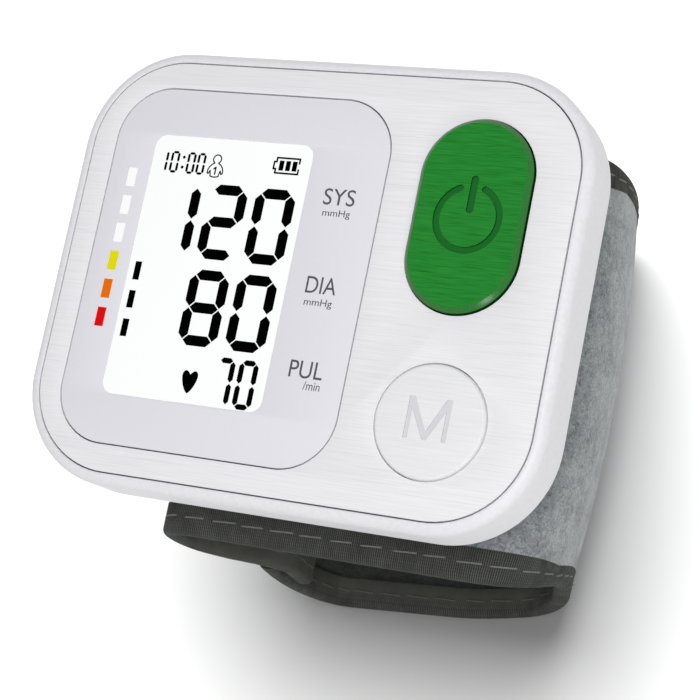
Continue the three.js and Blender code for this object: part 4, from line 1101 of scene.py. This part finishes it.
class Outline:
    """The cuff's outer face as one line, from the flap's end round to the strap's tip."""

    def __init__(self):
        strap = respaced(joined([LOWER_TURN] + STRAP_RUNS))
        strap_length = lengths_along(strap)[-1]
        kept = strap_length - lengths_along(joined([LOWER_TURN]))[-1] / 2
        first = int(len(strap) * (1 - FLAP_OVERLAP * kept / strap_length))
        last = len(strap) - int(TAIL_CUT / PATH_STEP)
        tail = (strap - normals_of(strap) * (STRAP_INNER + HOOK_GAP))[first:last]
        flap = joined([
            [tail[-1], at(-0.4, 0.7), at(-0.84, 0.6), LOBE_LEFT],
            [LOBE_LEFT, at(-0.84, 0.96), at(-0.74, 1), TOP_LEFT],
        ])
        wall = joined(WALL_RUNS)
        self.points = respaced(np.concatenate([tail, flap[1:], wall[1:], strap[1:]]))
        self.normals = normals_of(self.points)
        self.along = lengths_along(self.points)
        self.pad_start = lengths_along(tail)[-1] + lengths_along(flap)[-1]
        self.wall_end = self.pad_start + lengths_along(wall)[-1]
        self.split = self.wall_end - SPLIT_BACK

    def place(self, chosen, depth, y):
        """Points at a depth below the outer face and a place across the width: the rims drift
        towards the display's foot, rise down the right side, and that side swells."""
        x, z = self.points[chosen].T[:, :, None]
        nx, nz = self.normals[chosen].T[:, :, None]
        down = np.clip((CUFF_HEIGHT - z) / CUFF_HEIGHT, 0, 1)
        left = np.clip((CUFF_REACH - x) / CUFF_SPAN, 0, 1)
        right = smooth_step(x, RISE_FROM, CUFF_REACH)
        rise = NEAR_RISE + (FAR_RISE - NEAR_RISE) * (y / CUFF_HALF_WIDTH + 1) / 2
        shift = CUFF_OFFSET - CUFF_SKEW * down * left + rise * right * np.sin(RISE_TURN * down)
        side = smooth_step(x, *SWELL_ACROSS) * smooth_step(z, *SWELL_UP)
        swell = CUFF_SWELL * side * (1 - (y / CUFF_HALF_WIDTH) ** 2)
        return np.stack([x - nx * depth + swell, y + shift, z - nz * depth], -1)

    def tape_width(self):
        """How far the tape reaches in from the rims: less down the right side."""
        x, z = self.points.T
        side = smooth_step(x, *NARROW_ACROSS) * (1 - smooth_step(z, *NARROW_DOWN))
        return TAPE_WIDTH + (TAPE_SIDE_WIDTH - TAPE_WIDTH) * np.clip(side * NARROW_GAIN, 0, 1)

    def padding(self, rise_from, rise_to, fall):
        """1 where the wall is padded, rising after the flap and falling near the wall's end."""
        rise = smooth_step(self.along, self.pad_start + rise_from, self.pad_start + rise_to)
        return rise * (1 - smooth_step(self.along, self.wall_end + fall[0], self.wall_end + fall[1]))


def sweep(name, outline, chosen, rings, finish):
    """Carries closed rings of (depth, y) points along part of the outline."""
    steps, count = rings.shape[:2]
    vertices = outline.place(chosen, rings[:, :, 0], rings[:, :, 1]).reshape(-1, 3) * MM
    index = np.arange(steps * count).reshape(steps, count)
    turned = np.roll(index, -1, axis=1)
    faces = np.stack([index[:-1], turned[:-1], turned[1:], index[1:]], 2).reshape(-1, 4).tolist()
    faces.append(index[0][::-1].tolist())
    faces.append(index[-1].tolist())
    mesh = bpy.data.meshes.new(name)
    mesh.from_pydata(vertices.tolist(), [], faces)
    gaps = np.linalg.norm(np.diff(rings[0], axis=0, append=rings[0][:1]), axis=1)
    around = np.concatenate([[0], np.cumsum(gaps)[:-1]])
    u = np.repeat(outline.along[chosen], count) * MM
    v = np.tile(around, steps) * MM
    loops = np.zeros(len(mesh.loops), int)
    mesh.loops.foreach_get("vertex_index", loops)
    uv = mesh.uv_layers.new(name="cloth")
    uv.data.foreach_set("uv", np.stack([u[loops], v[loops]], 1).ravel())
    for label, values in (("along", u), ("across", v)):
        distance = mesh.attributes.new(label, "FLOAT", "POINT")
        distance.data.foreach_set("value", values)
    piece = placed(name, mesh)
    weld(piece, 0)
    finish_piece(piece, finish, 50)
    return piece


def felt_rings(steps):
    """The felt's closed ring, softened at its edges, for each place along the way."""
    y = np.linspace(-1, 1, FELT_ACROSS + 1) * (FELT_HALF_WIDTH - FELT_EDGE)
    shoulders = (FELT_EDGE, FELT_THICKNESS - FELT_EDGE)
    points = [(0, place) for place in y[::-1]]
    points += [(depth, -FELT_HALF_WIDTH) for depth in shoulders]
    points += [(FELT_THICKNESS, place) for place in y]
    points += [(depth, FELT_HALF_WIDTH) for depth in shoulders[::-1]]
    return np.tile(points, (steps, 1, 1))


def lining_rings(depth, bulge):
    """The lining's rings: close to the felt at the rims and round the padding between them,
    with a shallow crown where the bladder fills it."""
    y = np.linspace(-1, 1, LINING_ACROSS + 1) * LINING_HALF_WIDTH
    pad = 1 - smooth_step(np.abs(y), PAD_HALF_WIDTH + PAD_SLOPE[0], PAD_HALF_WIDTH + PAD_SLOPE[1])
    crown = np.clip(1 - (y / PAD_HALF_WIDTH) ** 2, 0, 1) ** 0.6
    outer = THIN_LINING + (depth[:, None] - THIN_LINING) * pad
    inner = outer + LINING_THICKNESS + bulge[:, None] * crown
    depths = np.concatenate([outer[:, ::-1], inner], 1)
    places = np.tile(np.concatenate([y[::-1], y]), (len(depth), 1))
    return np.stack([depths, places], -1)


def tape_rings(side, widths):
    """The folded tape's closed U for each place along the way."""
    rows = []
    rim = CUFF_HALF_WIDTH + TAPE_PROUD * 0.4
    bend = rim - TAPE_ROUND
    t = TAPE_THICKNESS
    top = -TAPE_PROUD
    bottom = TAPE_INNER + TAPE_THICKNESS
    for leg in CUFF_HALF_WIDTH - widths:
        outer = [(top + 0.18, leg - 0.05), (top, leg + 0.2)]
        outer += [(top, y) for y in np.linspace(leg + 0.9, bend, 4)]
        outer += arc((top + TAPE_ROUND, bend), TAPE_ROUND, 170, 100, 4)
        outer += [(d, rim) for d in np.linspace(top + TAPE_ROUND, bottom - TAPE_ROUND, 3)]
        outer += arc((bottom - TAPE_ROUND, bend), TAPE_ROUND, 80, 10, 4)
        outer += [(bottom, y) for y in np.linspace(bend, leg + 0.5, 4)]
        outer += [(bottom - 0.15, leg + 0.2)]
        inner = [(bottom - t, leg + 0.3), (bottom - t, rim - t - 0.3), (bottom - t - 0.3, rim - t),
                 (top + t + 0.3, rim - t), (top + t, rim - t - 0.3), (top + t, leg + 0.1)]
        rows.append(outer + inner)
    return np.array(rows) * (1, side)


def geometry_tree(name, build):
    """A geometry node tree that ends with real geometry in the given material."""
    def painted(tree, given):
        whole = node(tree, "GeometryNodeRealizeInstances", {"Geometry": build(tree, given)})
        return node(tree, "GeometryNodeSetMaterial", {
            "Geometry": whole.outputs[0], "Material": given["Material"]}).outputs

    geometry = ("Geometry", "NodeSocketGeometry")
    return node_group(name, "GeometryNodeTree",
                      [(*geometry, None), ("Material", "NodeSocketMaterial", None)],
                      [geometry], painted)


def run_tree(piece, tree, material, name):
    """Runs a geometry node tree on a piece and keeps its result as a plain mesh."""
    modifier = piece.modifiers.new(tree.name, "NODES")
    modifier.node_group = tree
    for item in tree.interface.items_tree:
        if item.name == "Material":
            modifier[item.identifier] = material
    made = baked(piece, name)
    finish_piece(made, material, 60)
    return made


RIB_PITCH = 0.34
RIB_DEPTH = 0.05
THREAD_RADIUS = 0.15
THREAD_SIDES = 7


def build_ribs(tree, given):
    """Raises ribs across a tape by its distance along, and fades them on its inner leg."""
    along, across = (node(tree, "GeometryNodeInputNamedAttribute", {"Name": label},
                          data_type="FLOAT").outputs["Attribute"] for label in ("along", "across"))
    turns = maths(tree, "DIVIDE", along, RIB_PITCH * MM)
    wave = maths(tree, "SINE", maths(tree, "MULTIPLY", turns, 2 * math.pi))
    faded = maths(tree, "MULTIPLY", wave, ranged(tree, across, *INNER_LEG, 1.0, 0.0))
    height = maths(tree, "MULTIPLY", faded, RIB_DEPTH * MM)
    normal = node(tree, "GeometryNodeInputNormal")
    offset = node(tree, "ShaderNodeVectorMath", {
        0: normal.outputs["Normal"], "Scale": height}, operation="SCALE")
    return node(tree, "GeometryNodeSetPosition", {
        "Geometry": given["Geometry"], "Offset": offset.outputs[0]}).outputs[0]


def build_stitches(tree, given):
    """Gives every short line of a mesh the roundness of a thread."""
    curve = node(tree, "GeometryNodeMeshToCurve", {"Mesh": given["Geometry"]})
    profile = node(tree, "GeometryNodeCurvePrimitiveCircle", {
        "Resolution": THREAD_SIDES, "Radius": THREAD_RADIUS * MM})
    return node(tree, "GeometryNodeCurveToMesh", {
        "Curve": curve.outputs[0], "Profile Curve": profile.outputs[0],
        "Fill Caps": True}).outputs[0]


STITCH_PITCH = 5.3
STITCH_LENGTH = 4.3
STITCH_SLANT = -0.22
STITCH_DIP = 0.22
STITCH_SHARE = 0.53
STITCH_ENDS = (0.8, 0.4)
STITCH_STRIDE = 4
THREAD_LIFT = 0.04


def stitch_row(name, outline, chosen, depth, row_y, tree, sign, thread, seed):
    """One row of stitches that follow the tape, each a little askew and sunk at its ends."""
    rng = np.random.default_rng(seed)
    along = outline.along[chosen]
    points = []
    edges = []
    start = along[0] + STITCH_ENDS[0]
    while start + STITCH_LENGTH < along[-1] - STITCH_ENDS[1]:
        length = STITCH_LENGTH * rng.uniform(0.86, 1.06)
        picked = np.nonzero((along >= start) & (along <= start + length))[0][::STITCH_STRIDE]
        share = (along[picked] - start) / length
        sunk = depth + sign * STITCH_DIP * np.abs(2 * share - 1) ** 4
        across = row_y[picked] - STITCH_SLANT * (share - 0.5) + rng.uniform(-0.06, 0.06)
        spots = outline.place(chosen[picked], sunk[:, None], across[:, None])[:, 0] * MM
        edges += [(len(points) + k, len(points) + k + 1) for k in range(len(spots) - 1)]
        points += spots.tolist()
        start += STITCH_PITCH * rng.uniform(0.95, 1.05)
    mesh = bpy.data.meshes.new(name)
    mesh.from_pydata(points, edges, [])
    return run_tree(placed(name + "_line", mesh), tree, thread, name)


def settle(piece, on_strap):
    if on_strap:
        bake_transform(piece)
    else:
        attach(piece, MONITOR)


# Sides of the cuff, with the seeds of their outer and inner stitches
SIDES = ((-1, "near", 11, 19), (1, "far", 7, 17))


def make_cuff():
    outline = Outline()
    ribs = geometry_tree("tape_ribs", build_ribs)
    stitches = geometry_tree("stitch_threads", build_stitches)
    padding = outline.padding(-LINING_RISE, 0, LINING_FALL)
    lining_depth = THIN_LINING + (WALL_LINING - THIN_LINING) * padding
    bulge = LINING_CROWN * outline.padding(0, CROWN_RISE, CROWN_FALL)
    widths = outline.tape_width()
    parts = (
        ("cuff", outline.along <= outline.split, False),
        ("strap", outline.along >= outline.split, True),
    )
    for part, mask, on_strap in parts:
        every = np.nonzero(mask)[0]
        chosen = np.unique(np.concatenate([every[::SKIN_STRIDE], every[-1:]]))
        felt = sweep(f"{part}_felt_skin", outline, chosen, felt_rings(len(chosen)), felt_grey)
        settle(felt, on_strap)
        rings = lining_rings(lining_depth[chosen], bulge[chosen])
        lining = sweep(f"{part}_lining_skin", outline, chosen, rings, lining_dark)
        settle(lining, on_strap)
        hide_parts(f"{part}_felt")
        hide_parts(f"{part}_lining")
        for side, word, outer_seed, inner_seed in SIDES:
            tape = sweep(f"{part}_tape_{word}_plain", outline, every, tape_rings(side, widths[every]),
                         tape_dark)
            tape = run_tree(tape, ribs, tape_dark, f"{part}_ribbed_tape_{word}")
            settle(tape, on_strap)
            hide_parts(f"{part}_tape_{word}")
            y = side * (CUFF_HALF_WIDTH - STITCH_SHARE * widths[every])
            inner_depth = TAPE_INNER + TAPE_THICKNESS + THREAD_LIFT
            rows = (("stitches", -TAPE_PROUD - THREAD_LIFT, 1, thread_pale, outer_seed),
                    ("inner_stitches", inner_depth, -1, thread_inner, inner_seed))
            for label, depth, sign, thread, seed in rows:
                row = stitch_row(f"{part}_{label}_{word}", outline, every, depth, y, stitches, sign,
                                 thread, seed)
                settle(row, on_strap)


make_camera()
make_studio()
finish_frame_nodes()
make_front_shell()
make_seam_shadow()
make_fascia()
make_window()
make_readings()
make_level_bars()
for label in LABELS:
    lettering(*label)
make_start_button()
make_memory_button()
make_cuff()
